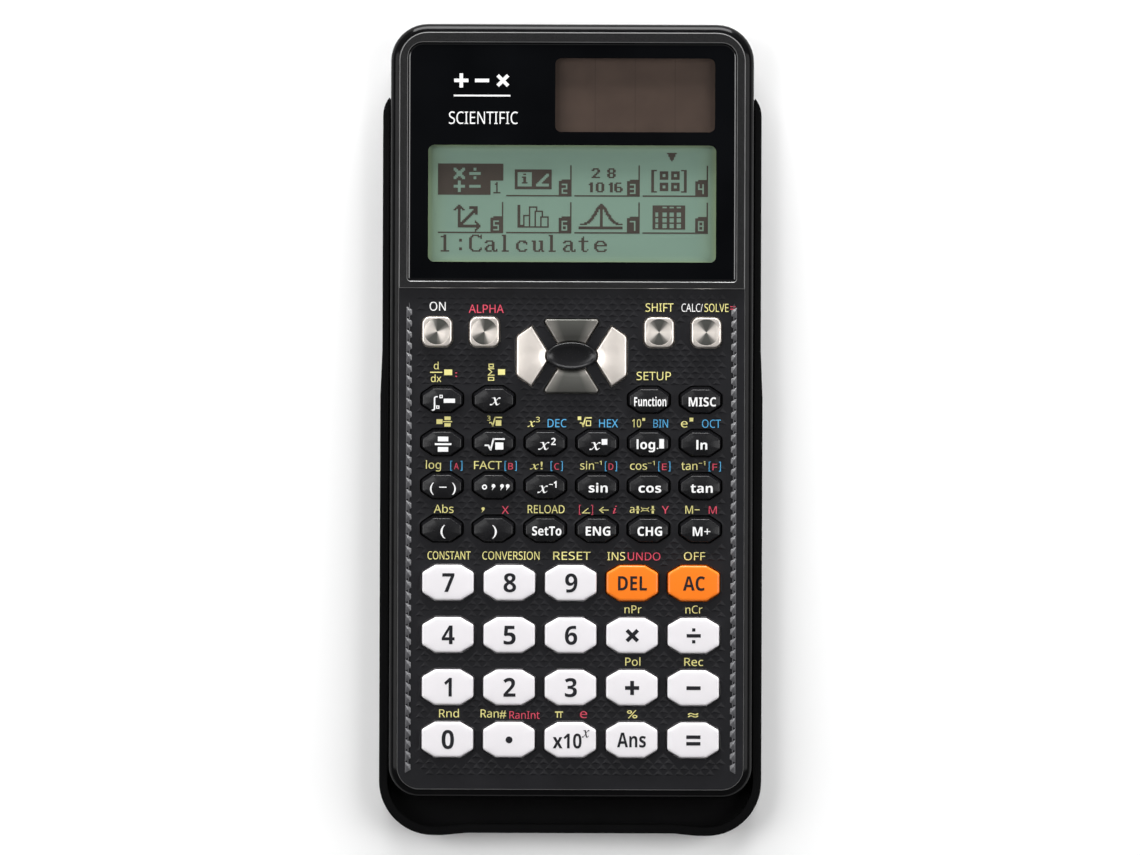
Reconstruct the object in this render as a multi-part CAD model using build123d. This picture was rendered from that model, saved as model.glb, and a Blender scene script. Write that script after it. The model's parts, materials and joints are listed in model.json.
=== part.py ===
"""Pocket scientific calculator with its slide-on hard cover stowed on the back.

Frame: millimetres, +Z out of the keypad face, +Y towards the display end. The origin is the centre
of the footprint on the surface that the covered back rests on.
"""

from build123d import *
import math
import os

# ---- overall sizes ----
body_width = 77.0
body_length = 164.0
body_thickness = 11.1  # from the back face to the top of the display frame
cover_overhang = 8.2  # how far the stowed cover stands past the lower end of the body

# ---- housing ----
top_corner_radius = 7.9
bottom_corner_radius = 6.5
case_wall = 1.6
face_thickness = 1.5
back_thickness = 1.5
bevel_inset = 1.9  # the sloped border round the face, seen from the front
bevel_drop = 2.0
frame_rise = 0.7  # the display frame stands this far above the keypad face
frame_length = 56.1  # from the top end of the body down to the step under the display
back_edge_radius = 1.6
parting_height = 5.7  # from the back face up to the joint between the two halves
groove_depth = 1.0  # rail groove in each side, just under the parting line
groove_height = 1.5
neck_wall = 1.3

# ---- display ----
window_top_strip = 2.2  # of the frame, between its sloped border and the window
window_side_strip = 1.85
window_bottom_strip = 1.6
window_thickness = 1.0
window_top_radius = 3.1
window_bottom_radius = 0.6
window_sunk = 0.1  # below the top of the frame
lcd_view_width = 61.0
lcd_view_length = 24.8
lcd_view_from_window_bottom = 16.4  # up to the centre of the view
lcd_border = 1.2  # glass hidden past the view on each side
lcd_thickness = 1.9
solar_view_width = 33.9
solar_view_length = 15.7
solar_view_x = 13.3
solar_view_from_window_top = 11.0
solar_border = 0.7
solar_thickness = 1.2
view_corner_radius = 1.3
seat_gap = 0.1  # between pieces that seat on each other

# ---- keys: rows are placed from the lower end of the body, columns from its centre line ----
key_gap = 0.3  # all round a cap in its hole
key_travel = 1.2
key_flange = 0.45  # how far the flange reaches under the face, past the hole
flange_thickness = 0.8
flange_gap = 0.1  # between the flange and the underside of the face
number_key = dict(width=10.9, length=7.4, flat=5.4, side=4.2, corner=0.7, rise=1.7, edge=0.35)
number_bottom_margin = 8.7  # from the lower end of the body to the first row's caps
number_row_space = 3.67  # between caps, as are the spaces below
number_column_space = 2.1
function_key = dict(width=8.8, length=5.5, flat=3.9, side=2.2, corner=0.7, rise=1.6, edge=0.35)
function_above_numbers = 4.95
function_row_space = 3.64
function_column_space = 2.15
mode_key = dict(size=6.2, corner=1.5, rise=1.6, edge=0.35)
mode_above_functions = 8.41
mode_column_space = 3.8
mode_inner_x = 18.5

# ---- direction pad: four keys round an oval boss, told apart by the bars of the face ----
pad_below_mode_row = 5.07
pad_outer_half_length = 7.75
pad_outer_half_width = 11.6
pad_side_half_length = 6.25
pad_side_shoulder_x = 8.5
pad_side_straight = 4.1
pad_bar_slope = 58.0  # degrees between a bar and the row of keys
pad_bar_width = 2.3
pad_bar_crossing = 2.9  # a bar's centre line would cross the pad's own row this far out
pad_corner_radius = 0.5
pad_rise = 1.2
pad_edge = 0.2
boss_half_width = 5.3
boss_half_length = 2.9
boss_rise = 0.9
boss_rim = 0.6
boss_dish = 0.35

# ---- inside ----
board_thickness = 1.0
board_side_margin = 7.2
board_bottom_margin = 4.5
mat_thickness = 0.7
dome_top_radius = 1.6
dome_base_radius = 2.5
dome_wall = 0.5
dome_collapsed = 1.2  # height left in a dome when its key is right down
battery_radius = 5.8
battery_thickness = 5.4
battery_rim = 0.35
battery_x = -21.0
battery_from_top = 15.5
battery_clearance = 0.15
well_wall = 1.0
contact_thickness = 0.2
contact_width = 3.0
chip_radius = 4.5
chip_thickness = 1.1
rib_thickness = 1.0
rib_length = 46.0
connector_width = 52.0
connector_thickness = 2.0

# ---- case screws ----
screw_x_margin = 4.3
screw_top_margin = 8.6
screw_bottom_margin = 5.4
screw_above_mode_keys = 0.66  # between the flanges of the mode keys and the middle posts
screw_head_radius = 1.6
screw_head_height = 1.1
screw_shank_radius = 0.8
screw_length = 6.6
screw_recess = 1.5
screw_boss_radius = 2.5
screw_post_radius = 2.0
screw_clearance = 0.1
thread_clearance = 0.02
driver_slot = (1.7, 0.4, 0.45)  # length, width, depth of the cross in a screw head

# ---- slide-on cover ----
cover_floor = 1.4
cover_wall = 1.75
cover_under_gap = 0.4  # between the cover's floor and the back of the body
cover_side_gap = 0.35
cover_top_margin = 13.3  # the body shows past the cover by this much at the display end
cover_wall_height = 8.4
cover_bottom_radius = 11.5
cover_top_radius = 6.0
cover_slim = 0.4  # the upper half of each side is this much slimmer
cover_grip_height = 98.1  # from the cover's lower end to the middle of the change to the full side
cover_grip_length = 10.0
cover_rim_radius = 0.6
cover_dent_width = 54.0
cover_dent_depth = 0.5
cover_dent_run = 5.0
rail_reach = 0.75  # the rail reaches this far into the side groove
rail_clearance = 0.2  # above and below the rail in its groove
rail_bottom_margin = 7.2  # from the lower end of the body
rail_length = 70.1
rail_stop_gap = 0.1

# Names of the keys, row by row from the top, as a user would call them.
function_names = (
    ("integral", "variable_x", None, None, "function", "misc"),
    ("fraction", "square_root", "square", "power", "log_base", "natural_log"),
    ("negative", "degrees", "reciprocal", "sine", "cosine", "tangent"),
    ("open_bracket", "close_bracket", "store", "engineering", "change", "memory_plus"),
)
number_names = (
    ("seven", "eight", "nine", "delete", "all_clear"),
    ("four", "five", "six", "multiply", "divide"),
    ("one", "two", "three", "plus", "minus"),
    ("zero", "point", "exponent", "answer", "equals"),
)
mode_names = ("on", "alpha", "shift", "calc")

# ---- places worked out from the sizes above ----
total_length = body_length + cover_overhang
body_top = total_length / 2
body_bottom = body_top - body_length
body_middle = (body_top + body_bottom) / 2
back = cover_floor + cover_under_gap
frame_top = back + body_thickness
face = frame_top - frame_rise
ceiling = face - face_thickness
parting = back + parting_height
inside_floor = back + back_thickness
step = body_top - frame_length
window_width = body_width - 2 * (bevel_inset + window_side_strip)
window_top_edge = body_top - bevel_inset - window_top_strip
window_bottom_edge = step + window_bottom_strip
window_front = frame_top - window_sunk
window_back = window_front - window_thickness
lcd_middle = window_bottom_edge + lcd_view_from_window_bottom
solar_middle = window_top_edge - solar_view_from_window_top
number_row_pitch = number_key["length"] + number_row_space
function_row_pitch = function_key["length"] + function_row_space
number_low = body_bottom + number_bottom_margin
function_low = number_low + len(number_names) * number_row_pitch - number_row_space + function_above_numbers
mode_low = function_low + len(function_names) * function_row_pitch - function_row_space + mode_above_functions
mode_row = mode_low + mode_key["size"] / 2
mode_outer_x = mode_inner_x + mode_key["size"] + mode_column_space
pad_middle = mode_row - pad_below_mode_row
flange_top = ceiling - flange_gap
flange_bottom = flange_top - flange_thickness
mat_top = flange_bottom - seat_gap - key_travel - dome_collapsed
board_top = mat_top - mat_thickness
board_bottom = board_top - board_thickness
board_width = body_width - 2 * board_side_margin
battery_middle = body_top - battery_from_top
battery_low = inside_floor + contact_thickness
board_low = body_bottom + board_bottom_margin
board_high = battery_middle - battery_radius - battery_clearance - well_wall - seat_gap
rail_top = body_bottom + rail_bottom_margin + rail_length
rail_height = groove_height - 2 * rail_clearance


def prism(sketch, low, high):
    """The sketch, drawn on the XY plane, as a solid between two heights."""
    return extrude(Pos(0, 0, low) * sketch, high - low)


def body_outline(inset=0.0):
    """Plan of the body, drawn in by inset on every side."""
    plan = Rectangle(body_width - 2 * inset, body_length - 2 * inset)
    ends = plan.vertices().group_by(Axis.Y)
    top, bottom = list(ends[-1]), list(ends[0])
    plan = fillet(top, max(top_corner_radius - inset, 0.5))
    bottom = list(plan.vertices().group_by(Axis.Y)[0])
    plan = fillet(bottom, max(bottom_corner_radius - inset, 0.5))
    return Pos(0, body_middle) * plan


def long_octagon(size, grow=0.0):
    """Plan of a key cap: flat ends, straight sides and sloped shoulders, with round corners."""
    w, h, f, s = (size[part] / 2 for part in ("width", "length", "flat", "side"))
    points = [(w, s), (f, h), (-f, h), (-w, s), (-w, -s), (-f, -h), (f, -h), (w, -s)]
    plan = make_face(Polyline(*points, close=True))
    plan = offset(plan, grow, kind=Kind.INTERSECTION) if grow else plan
    return fillet(plan.vertices(), size["corner"] + grow / 2)


def square_plan(grow=0.0):
    size = mode_key["size"] + 2 * grow
    return RectangleRounded(size, size, mode_key["corner"] + grow)


def key_solid(plan, rise, edge):
    """A cap with an eased rim on a flange that the face holds down."""
    cap = prism(plan(), flange_bottom, face + rise)
    cap = chamfer(cap.edges().group_by(Axis.Z)[-1], edge)
    return cap + prism(plan(key_gap + key_flange), flange_bottom, flange_top)


def bar_edge(side, grow=0.0):
    """The wedge between two bars of the pad that holds its upper ('end') or right ('side') key."""
    reach = 3 * pad_outer_half_width
    slope = math.radians(pad_bar_slope)
    off = pad_bar_width / 2 + key_gap - grow
    if side == "end":
        low, half = (off - pad_bar_crossing * math.sin(slope)) / math.cos(slope), reach / math.tan(slope)
        return make_face(Polyline((0, low), (half, reach + low), (-half, reach + low), close=True))
    near, half = pad_bar_crossing + off / math.sin(slope), reach * math.tan(slope)
    return make_face(Polyline((near, 0), (near + reach, half), (near + reach, -half), close=True))


def boss_outline(grow=0.0):
    return Ellipse(boss_half_width + grow, boss_half_length + grow)


def pad_end_plan(grow=0.0):
    """Plan of the upper key of the pad, about the pad's middle."""
    half_length = pad_outer_half_length + grow
    box = Pos(0, half_length / 2) * Rectangle(2 * pad_outer_half_width, half_length)
    plan = box & bar_edge("end", grow)
    plan = fillet(plan.vertices().group_by(Axis.Y)[-1], pad_corner_radius + grow)
    return plan - boss_outline(key_gap - grow)


def pad_side_plan(grow=0.0):
    """Plan of the right-hand key of the pad, about the pad's middle."""
    points = [
        (0, pad_side_half_length + grow),
        (pad_side_shoulder_x + grow / 2, pad_side_half_length + grow),
        (pad_outer_half_width + grow, pad_side_straight + grow / 2),
    ]
    points += [(x, -y) for x, y in reversed(points)]
    plan = make_face(Polyline(*points, close=True)) & bar_edge("side", grow)
    plan = fillet(plan.vertices().group_by(Axis.X)[-1], 2 * pad_corner_radius + grow)
    return plan - boss_outline(key_gap - grow)


def placed(plan, x, y, turn=None):
    """A plan about its own middle, as one that can be asked for in place and grown."""

    def at(grow=0.0):
        drawn = plan(grow)
        return Pos(x, y) * (mirror(drawn, turn) if turn else drawn)

    return at


def key_list():
    """Every key as (node name, plan in place, rise, edge, centre of its dome)."""
    found = []
    for name, x in zip(mode_names, (-mode_outer_x, -mode_inner_x, mode_inner_x, mode_outer_x)):
        plan = placed(square_plan, x, mode_row)
        found.append((f"key_{name}", plan, mode_key["rise"], mode_key["edge"], (x, mode_row)))
    end_reach = (boss_half_length + pad_outer_half_length) / 2
    side_reach = (boss_half_width + pad_outer_half_width) / 2
    pad = (
        ("up", pad_end_plan, None, 0, end_reach),
        ("down", pad_end_plan, Plane.XZ, 0, -end_reach),
        ("right", pad_side_plan, None, side_reach, 0),
        ("left", pad_side_plan, Plane.YZ, -side_reach, 0),
    )
    for name, plan, turn, x, y in pad:
        spot = (x, pad_middle + y)
        found.append((f"key_{name}", placed(plan, 0, pad_middle, turn), pad_rise, pad_edge, spot))
    found += key_block(function_names, function_key, function_low, function_row_pitch, function_column_space)
    found += key_block(number_names, number_key, number_low, number_row_pitch, number_column_space)
    return found


def key_block(names, size, low, row_pitch, column_space):
    """A rectangular block of equal keys; low is the lower edge of the lowest caps."""

    def plan(grow=0.0):
        return long_octagon(size, grow)

    block = []
    for row, line in enumerate(reversed(names)):
        for column, name in enumerate(line):
            if name is None:
                continue
            x = (column - (len(line) - 1) / 2) * (size["width"] + column_space)
            y = low + size["length"] / 2 + row * row_pitch
            block.append((f"key_{name}", placed(plan, x, y), size["rise"], size["edge"], (x, y)))
    return block


def screw_places():
    x = body_width / 2 - screw_x_margin
    mode_top = mode_low + mode_key["size"] + key_gap + key_flange
    middle = mode_top + screw_above_mode_keys + screw_post_radius
    rows = (body_top - screw_top_margin, middle, body_bottom + screw_bottom_margin)
    return [(side * x, y) for y in rows for side in (-1, 1)]


def view_plan(width, length, x, y):
    """Plan of an opening behind the display window."""
    return Pos(x, y) * RectangleRounded(width + 2 * seat_gap, length + 2 * seat_gap, view_corner_radius)


def front_case(keys):
    """Front half: face with key holes, sloped border, display frame, screw posts."""
    case = prism(body_outline(), parting, face)
    rim = case.edges().group_by(Axis.Z)[-1]
    case = chamfer(rim, bevel_drop, bevel_inset, reference=case.faces().sort_by(Axis.Z)[-1])
    frame_plan = body_outline(bevel_inset)
    keep = Pos(0, (step + body_top) / 2) * Rectangle(body_width, frame_length)
    case += prism(frame_plan & keep, face - seat_gap, frame_top)
    case -= prism(body_outline(case_wall), parting, ceiling)
    for x, y in screw_places():
        post = Circle(screw_post_radius) - Circle(screw_shank_radius + thread_clearance)
        case += prism(Pos(x, y) * post, parting, ceiling)
        case += prism(Pos(x, y) * Circle(screw_post_radius), screw_tip() + seat_gap, ceiling + seat_gap)
    case -= prism(window_plan(seat_gap), window_back, frame_top)
    case -= prism(view_plan(lcd_view_width, lcd_view_length, 0, lcd_middle), ceiling, frame_top)
    solar_view = view_plan(solar_view_width, solar_view_length, solar_view_x, solar_middle)
    case -= prism(solar_view, ceiling, frame_top)
    for _, plan, _, _, _ in keys:
        case -= prism(plan(key_gap), ceiling, face)
    return case + pad_boss()


def pad_boss():
    """Oval boss in the middle of the direction pad, with a dished top inside a rim."""
    boss = prism(boss_outline(), ceiling, face + boss_rise)
    boss -= prism(boss_outline(-boss_rim), face + boss_rise - boss_dish, face + boss_rise)
    return Pos(0, pad_middle) * boss


def window_plan(grow=0.0):
    length = window_top_edge - window_bottom_edge
    plan = Rectangle(window_width + 2 * grow, length + 2 * grow)
    plan = fillet(plan.vertices().group_by(Axis.Y)[-1], window_top_radius + grow)
    plan = fillet(plan.vertices().group_by(Axis.Y)[0], window_bottom_radius + grow)
    return Pos(0, window_bottom_edge + length / 2) * plan


def display_window():
    return prism(window_plan(), window_back, window_front)


def lcd_panel():
    """Two glass sheets with a contact ledge, and the rubber strip that joins them to the board."""
    top = ceiling - seat_gap
    width, length = lcd_view_width + 2 * lcd_border, lcd_view_length + 2 * lcd_border
    sheet = lcd_thickness / 2
    upper = Pos(0, lcd_middle, top - sheet / 2) * Box(width, length, sheet)
    ledge = connector_thickness + 2 * seat_gap
    lower = Pos(0, lcd_middle - ledge / 2, top - 1.5 * sheet) * Box(width, length + ledge, sheet)
    low = lcd_middle - length / 2 - ledge + connector_thickness / 2
    tall = top - lcd_thickness - board_top
    strip = Pos(0, low, board_top + tall / 2) * Box(connector_width, connector_thickness, tall)
    return Compound(children=[upper + lower, strip])


def solar_cell():
    top = ceiling - seat_gap
    size = (solar_view_width + 2 * solar_border, solar_view_length + 2 * solar_border, solar_thickness)
    return Pos(solar_view_x, solar_middle, top - solar_thickness / 2) * Box(*size)


def circuit_board():
    """Board with its chip under an epoxy cap, and the two battery contacts soldered to its edge."""
    middle = (board_low + board_high) / 2
    board = Pos(0, middle, (board_bottom + board_top) / 2) * Box(
        board_width, board_high - board_low, board_thickness
    )
    chip = Pos(0, step, board_bottom - chip_thickness / 2) * Cylinder(chip_radius, chip_thickness)
    chip = fillet(chip.edges().group_by(Axis.Z)[0], chip_thickness / 2)
    reach = battery_middle - battery_radius / 2
    over = battery_low + battery_thickness
    leaf = contact_thickness
    upper = Pos(battery_x, (board_high - leaf + reach) / 2, over + leaf / 2) * Box(
        contact_width, reach - board_high + leaf, leaf
    )
    upper += Pos(battery_x, board_high - leaf / 2, (board_top + over) / 2) * Box(
        contact_width, leaf, over - board_top
    )
    lower = Pos(battery_x, (board_high + reach) / 2, inside_floor + leaf / 2) * Box(
        contact_width, reach - board_high, leaf
    )
    lower += Pos(battery_x, board_high + leaf / 2, (inside_floor + board_top) / 2) * Box(
        contact_width, leaf, board_top - inside_floor
    )
    return Compound(children=[board, chip, upper, lower])


def key_mat(keys):
    """Rubber sheet with a hollow dome under each key."""
    middle = (board_low + step) / 2
    mat = Pos(0, middle, board_top + mat_thickness / 2) * Box(
        board_width, step - board_low, mat_thickness
    )
    tall = flange_bottom - seat_gap - mat_top
    outer = Pos(0, 0, mat_top + tall / 2) * Cone(dome_base_radius, dome_top_radius, tall)
    inner_tall = tall - dome_wall
    inner = Cone(dome_base_radius - dome_wall, dome_top_radius - dome_wall, inner_tall)
    inner = Pos(0, 0, mat_top + inner_tall / 2) * inner
    inner += Pos(0, 0, board_top + mat_thickness / 2) * Cylinder(
        dome_base_radius - dome_wall, mat_thickness
    )
    mat += [Pos(x, y) * outer for _, _, _, _, (x, y) in keys]
    mat -= [Pos(x, y) * inner for _, _, _, _, (x, y) in keys]
    return mat


def battery():
    """Button cell: the can, with its smaller crimped cap upwards."""
    cap = battery_rim
    can = Cylinder(battery_radius, battery_thickness - cap)
    can = Pos(0, 0, battery_low + (battery_thickness - cap) / 2) * can
    top = Cylinder(battery_radius - 2 * cap, cap)
    top = Pos(0, 0, battery_low + battery_thickness - cap / 2) * top
    return Pos(battery_x, battery_middle) * (can + top)


def rear_case():
    """Back half: shell with the side grooves, battery well, board ribs and screw bosses."""
    groove_low = parting - groove_height
    case = prism(body_outline(), back, groove_low)
    case = fillet(case.edges().group_by(Axis.Z)[0], back_edge_radius)
    neck = prism(body_outline(groove_depth), groove_low, parting)
    stop = rail_top + rail_stop_gap
    upper = Pos(0, (stop + body_top) / 2) * Rectangle(body_width, body_top - stop)
    neck += prism(body_outline() & upper, groove_low, parting)
    case += neck
    case -= prism(body_outline(case_wall), inside_floor, groove_low)
    case -= prism(body_outline(groove_depth + neck_wall), groove_low - seat_gap, parting)
    shell_plan = body_outline(groove_depth + neck_wall / 2)
    for x, y in screw_places():
        boss = Pos(x, y) * Circle(screw_boss_radius) & shell_plan
        case += prism(boss, back + back_edge_radius / 2, parting)
    for x, y in screw_places():
        case -= Pos(x, y, (back + parting) / 2) * Cylinder(
            screw_shank_radius + screw_clearance, parting_height
        )
        case -= Pos(x, y, back + screw_recess / 2) * Cylinder(
            screw_head_radius + screw_clearance, screw_recess
        )
    case += battery_well()
    for y in (board_low + 2 * rib_thickness, (board_low + step) / 2, step - 2 * chip_radius):
        rib = Box(rib_length, rib_thickness, board_bottom - back - back_thickness / 2)
        case += Pos(0, y, (board_bottom + back + back_thickness / 2) / 2) * rib
    return case


def battery_well():
    """Ring round the cell, with a gap for the contacts on the board's side."""
    inner = battery_radius + battery_clearance
    low, high = inside_floor - back_thickness / 2, battery_low + battery_thickness / 2
    ring = prism(Circle(inner + well_wall) - Circle(inner), low, high)
    gap = contact_width + 4 * battery_clearance
    slot = Box(gap, 2 * well_wall + inner, high - inside_floor)
    ring -= Pos(0, -inner, (inside_floor + high) / 2) * slot
    return Pos(battery_x, battery_middle) * ring


def screw_seat():
    """Height of the underside of a screw head."""
    return back + screw_recess


def screw_tip():
    return screw_seat() + screw_length


def case_screws():
    """Six equal self-tapping screws with a cross in the head."""
    low = screw_seat() - screw_head_height
    head = Pos(0, 0, low + screw_head_height / 2) * Cylinder(screw_head_radius, screw_head_height)
    head = fillet(head.edges().group_by(Axis.Z)[0], screw_head_height / 4)
    shank = Pos(0, 0, screw_seat() + screw_length / 2) * Cylinder(screw_shank_radius, screw_length)
    shank = chamfer(shank.edges().group_by(Axis.Z)[-1], screw_shank_radius / 2)
    length, width, depth = driver_slot
    cross = Box(length, width, depth) + Box(width, length, depth)
    screw = head + shank - Pos(0, 0, low + depth / 2) * cross
    return Compound(children=[Pos(x, y) * screw for x, y in screw_places()])


def cover_outline():
    """Plan of the cover: wide round lower corners, a slimmer upper half and eased upper corners."""
    inner = body_width / 2 + cover_side_gap
    full, slim = inner + cover_wall, inner + cover_wall - cover_slim
    high, low = body_top - cover_top_margin, body_top - total_length
    grip_low = low + cover_grip_height - cover_grip_length / 2
    grip_high = grip_low + cover_grip_length
    right = [(full, low), (full, grip_low), (slim, grip_high), (slim, high)]
    points = right + [(-x, y) for x, y in reversed(right)]
    plan = make_face(Polyline(*points, close=True))
    plan = fillet(plan.vertices().group_by(Axis.Y)[0], cover_bottom_radius)
    plan = fillet(plan.vertices().group_by(Axis.Y)[-1], cover_top_radius)
    return plan


def cover_hollow():
    """Plan of the space inside the walls, open at the display end."""
    inner = body_width / 2 + cover_side_gap
    low, high = body_top - total_length + cover_wall, body_top
    plan = Pos(0, (low + high) / 2) * Rectangle(2 * inner, high - low)
    plan = fillet(plan.vertices().group_by(Axis.Y)[0], cover_bottom_radius - cover_wall)
    return plan - cover_dent(low)


def cover_dent(low):
    """Plan of the shallow finger dent in the lower end, on the line y = low."""
    half, run, high = cover_dent_width / 2, cover_dent_run, low + cover_dent_depth
    points = [(-half, low), (-half + run, high), (half - run, high), (half, low)]
    plan = make_face(Polyline(*points, close=True))
    return fillet(plan.vertices().group_by(Axis.Y)[-1], 2 * run)


def rail_plan(side):
    """Plan of the rail on one side wall, with a rounded lead-in at its upper end."""
    inner = body_width / 2 + cover_side_gap
    reach = cover_side_gap + rail_reach
    width = reach + cover_wall / 2
    middle = (side * (inner - reach + width / 2), rail_top - rail_length / 2)
    rail = Pos(*middle) * Rectangle(width, rail_length)
    return fillet(rail.vertices().group_by(Axis.X)[0 if side > 0 else -1], reach * 0.8)


def slide_cover():
    """Hard cover: a tray with an open upper end and a rail inside each side wall."""
    plan = cover_outline() - cover_dent(body_top - total_length)
    cover = prism(plan, 0, cover_wall_height)
    cover = fillet(cover.edges().group_by(Axis.Z)[0], cover_rim_radius)
    cover -= prism(cover_hollow(), cover_floor, cover_wall_height)
    low = parting - groove_height + rail_clearance
    for side in (-1, 1):
        cover += prism(rail_plan(side), low, low + rail_height)
    return cover


def main():
    os.makedirs("parts", exist_ok=True)
    keys = key_list()
    nodes = {
        "front_case": front_case(keys),
        "display_window": display_window(),
        "lcd_panel": lcd_panel(),
        "solar_cell": solar_cell(),
        "circuit_board": circuit_board(),
        "key_mat": key_mat(keys),
        "battery": battery(),
        "rear_case": rear_case(),
        "case_screws": case_screws(),
        "slide_cover": slide_cover(),
    }
    for name, plan, rise, edge, _ in keys:
        nodes[name] = key_solid(plan, rise, edge)
    for name, shape in nodes.items():
        export_step(shape, f"parts/{name}.step")
    print(len(nodes), "nodes written")


main()
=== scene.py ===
"""Pocket scientific calculator: the visible pieces round the packed model.

Settings are in metres and degrees, as Blender's are; outlines and heights inside the functions
are in millimetres, in the model's own frame, and become metres when a piece is made.
"""

import json
import math

import bmesh
import bpy
from bpy.props import FloatProperty, FloatVectorProperty, PointerProperty
from bpy.types import Operator, Panel, PropertyGroup
from mathutils import Matrix, Vector
from mathutils.geometry import delaunay_2d_cdt

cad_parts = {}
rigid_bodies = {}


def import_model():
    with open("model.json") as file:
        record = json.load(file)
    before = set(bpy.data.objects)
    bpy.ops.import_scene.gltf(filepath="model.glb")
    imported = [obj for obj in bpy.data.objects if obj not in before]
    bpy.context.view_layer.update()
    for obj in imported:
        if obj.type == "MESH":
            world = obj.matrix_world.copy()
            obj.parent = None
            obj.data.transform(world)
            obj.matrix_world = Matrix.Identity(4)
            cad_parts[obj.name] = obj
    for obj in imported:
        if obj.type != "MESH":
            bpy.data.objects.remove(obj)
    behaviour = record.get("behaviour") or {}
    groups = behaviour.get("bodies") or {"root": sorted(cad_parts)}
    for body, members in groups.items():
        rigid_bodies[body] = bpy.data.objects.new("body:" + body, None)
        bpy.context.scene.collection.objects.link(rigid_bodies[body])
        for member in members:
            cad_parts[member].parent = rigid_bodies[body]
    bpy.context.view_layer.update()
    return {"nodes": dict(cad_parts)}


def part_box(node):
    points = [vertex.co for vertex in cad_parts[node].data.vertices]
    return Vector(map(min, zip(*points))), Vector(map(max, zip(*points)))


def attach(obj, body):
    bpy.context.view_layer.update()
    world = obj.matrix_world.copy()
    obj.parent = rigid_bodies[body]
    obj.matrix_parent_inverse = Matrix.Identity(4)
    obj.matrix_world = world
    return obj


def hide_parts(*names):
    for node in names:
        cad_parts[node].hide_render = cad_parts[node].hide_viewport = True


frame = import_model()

bl_info = {
    "name": "Pocket Calculator",
    "version": (1, 0, 0),
    "blender": (4, 5, 0),
    "location": "View3D > Sidebar > Calculator",
    "description": "Builds a pocket scientific calculator round its packed model",
    "category": "Object",
}

MM = 0.001
CORNER_STEPS = 10  # sides of each rounded corner of an outline


def tint(red, green, blue):
    """Linear colour from the usual 0-255 numbers."""
    found = []
    for part in (red, green, blue):
        part /= 255
        found.append(part / 12.92 if part <= 0.04045 else ((part + 0.055) / 1.055) ** 2.4)
    return tuple(found)


# ---- settings ----


def length(label, description, default):
    values = {"default": default * MM, "min": 0.0, "precision": 5, "unit": "LENGTH"}
    return FloatProperty(name=label, description=description, **values)


def colour(label, description, *numbers):
    values = {"default": tint(*numbers), "min": 0, "max": 1, "subtype": "COLOR"}
    return FloatVectorProperty(name=label, description=description, size=3, **values)


def amount(label, description, default, unit="NONE"):
    return FloatProperty(name=label, description=description, default=default, unit=unit)


class CaseSettings(PropertyGroup):
    """Sizes of the front of the housing."""

    border: length("Border", "Width of the rounded glossy border, seen from the front", 1.9)
    border_drop: length("Border drop", "How far the border falls to the sides", 2.0)
    top_radius: length("Top corners", "Corner radius at the display end", 7.9)
    bottom_radius: length("Bottom corners", "Corner radius at the lower end", 6.5)
    wall: length("Wall", "Thickness of the side walls", 1.6)
    face_thickness: length("Face", "Thickness of the keypad face", 1.5)
    frame_rise: length("Frame rise", "How far the display frame stands above the keypad face", 0.7)
    frame_length: length("Frame length", "From the top end to the step under the display", 56.1)
    weave_pitch: length("Weave pitch", "Width of one tile of the face pattern", 2.2)
    weave_row: length("Weave row", "Height of one row of the face pattern", 1.2)
    weave_depth: length("Weave depth", "How deep the face pattern is moulded", 0.15)
    weave_margin: length("Weave margin", "From the side of the body to the face pattern", 4.9)
    stud_pitch: length("Stud pitch", "Distance between the grip studs down each side", 2.41)
    stud_width: length("Stud width", "Width of a grip stud", 1.17)
    stud_rise: length("Stud rise", "Height of a grip stud above the face", 0.7)
    stud_margin: length("Stud margin", "From the inner edge of the border to the studs", 1.6)


class DisplaySettings(PropertyGroup):
    """Sizes of the display window and the screen behind it."""

    window_gap: length("Window gap", "Clearance round the window in its frame", 0.1)
    window_top_radius: length("Window top corners", "Upper corner radius", 3.1)
    window_bottom_radius: length("Window bottom corners", "Lower corner radius", 0.6)
    window_edge: length("Polished edge", "Width of the polished edge of the window", 0.4)
    view_radius: length("View corners", "Corner radius of the clear areas", 1.3)
    screen_length: length("Screen view", "Length of the clear area over the screen", 24.8)
    cell_length: length("Cell view", "Length of the clear area over the solar cell", 15.7)
    screen_border: length("Screen border", "Part of the screen hidden past its clear area", 1.2)
    cell_border: length("Cell border", "Part of the solar cell hidden past its clear area", 0.7)
    dot_pitch: length("Dot pitch", "Distance between screen dots", 0.3015)
    dot_size: length("Dot size", "Side of one screen dot", 0.305)


class KeySettings(PropertyGroup):
    """Sizes shared by the keys."""

    gap: length("Key gap", "Clearance round a cap in its hole", 0.3)
    flange: length("Flange", "How far the flange reaches past the hole", 0.45)
    flange_thickness: length("Flange thickness", "Thickness of the flange under the face", 0.8)
    cap_edge: length("Cap edge", "Width of the eased rim on the packed caps", 0.35)
    pad_edge: length("Pad edge", "Width of the eased rim on the packed pad keys", 0.2)
    rim: length("Rim", "Radius of the rounded rim of a cap", 0.45)
    boss_half_width: length("Boss half width", "Half the width of the boss in the pad", 5.3)
    boss_half_length: length("Boss half length", "Half the length of the boss in the pad", 2.9)
    boss_rise: length("Boss rise", "Height of the boss's rim above the face", 0.9)
    hollow_depth: length("Hollow depth", "Depth of the hollow in a cap's foot", 1.24)
    hollow_top: length("Hollow top", "Radius of the closed end of that hollow", 1.69)
    hollow_mouth: length("Hollow mouth", "Radius of the open end of that hollow", 2.13)
    crown: length("Crown", "How far the glossy caps swell inside their rim", 0.3)
    ink: length("Ink", "How far the print stands above the surface", 0.025)
    disc_radius: length("Disc", "Radius of the turned disc on the metal keys", 2.8)
    dish: length("Dish", "Depth of the turned dish round the pad's boss", 0.45)


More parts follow.
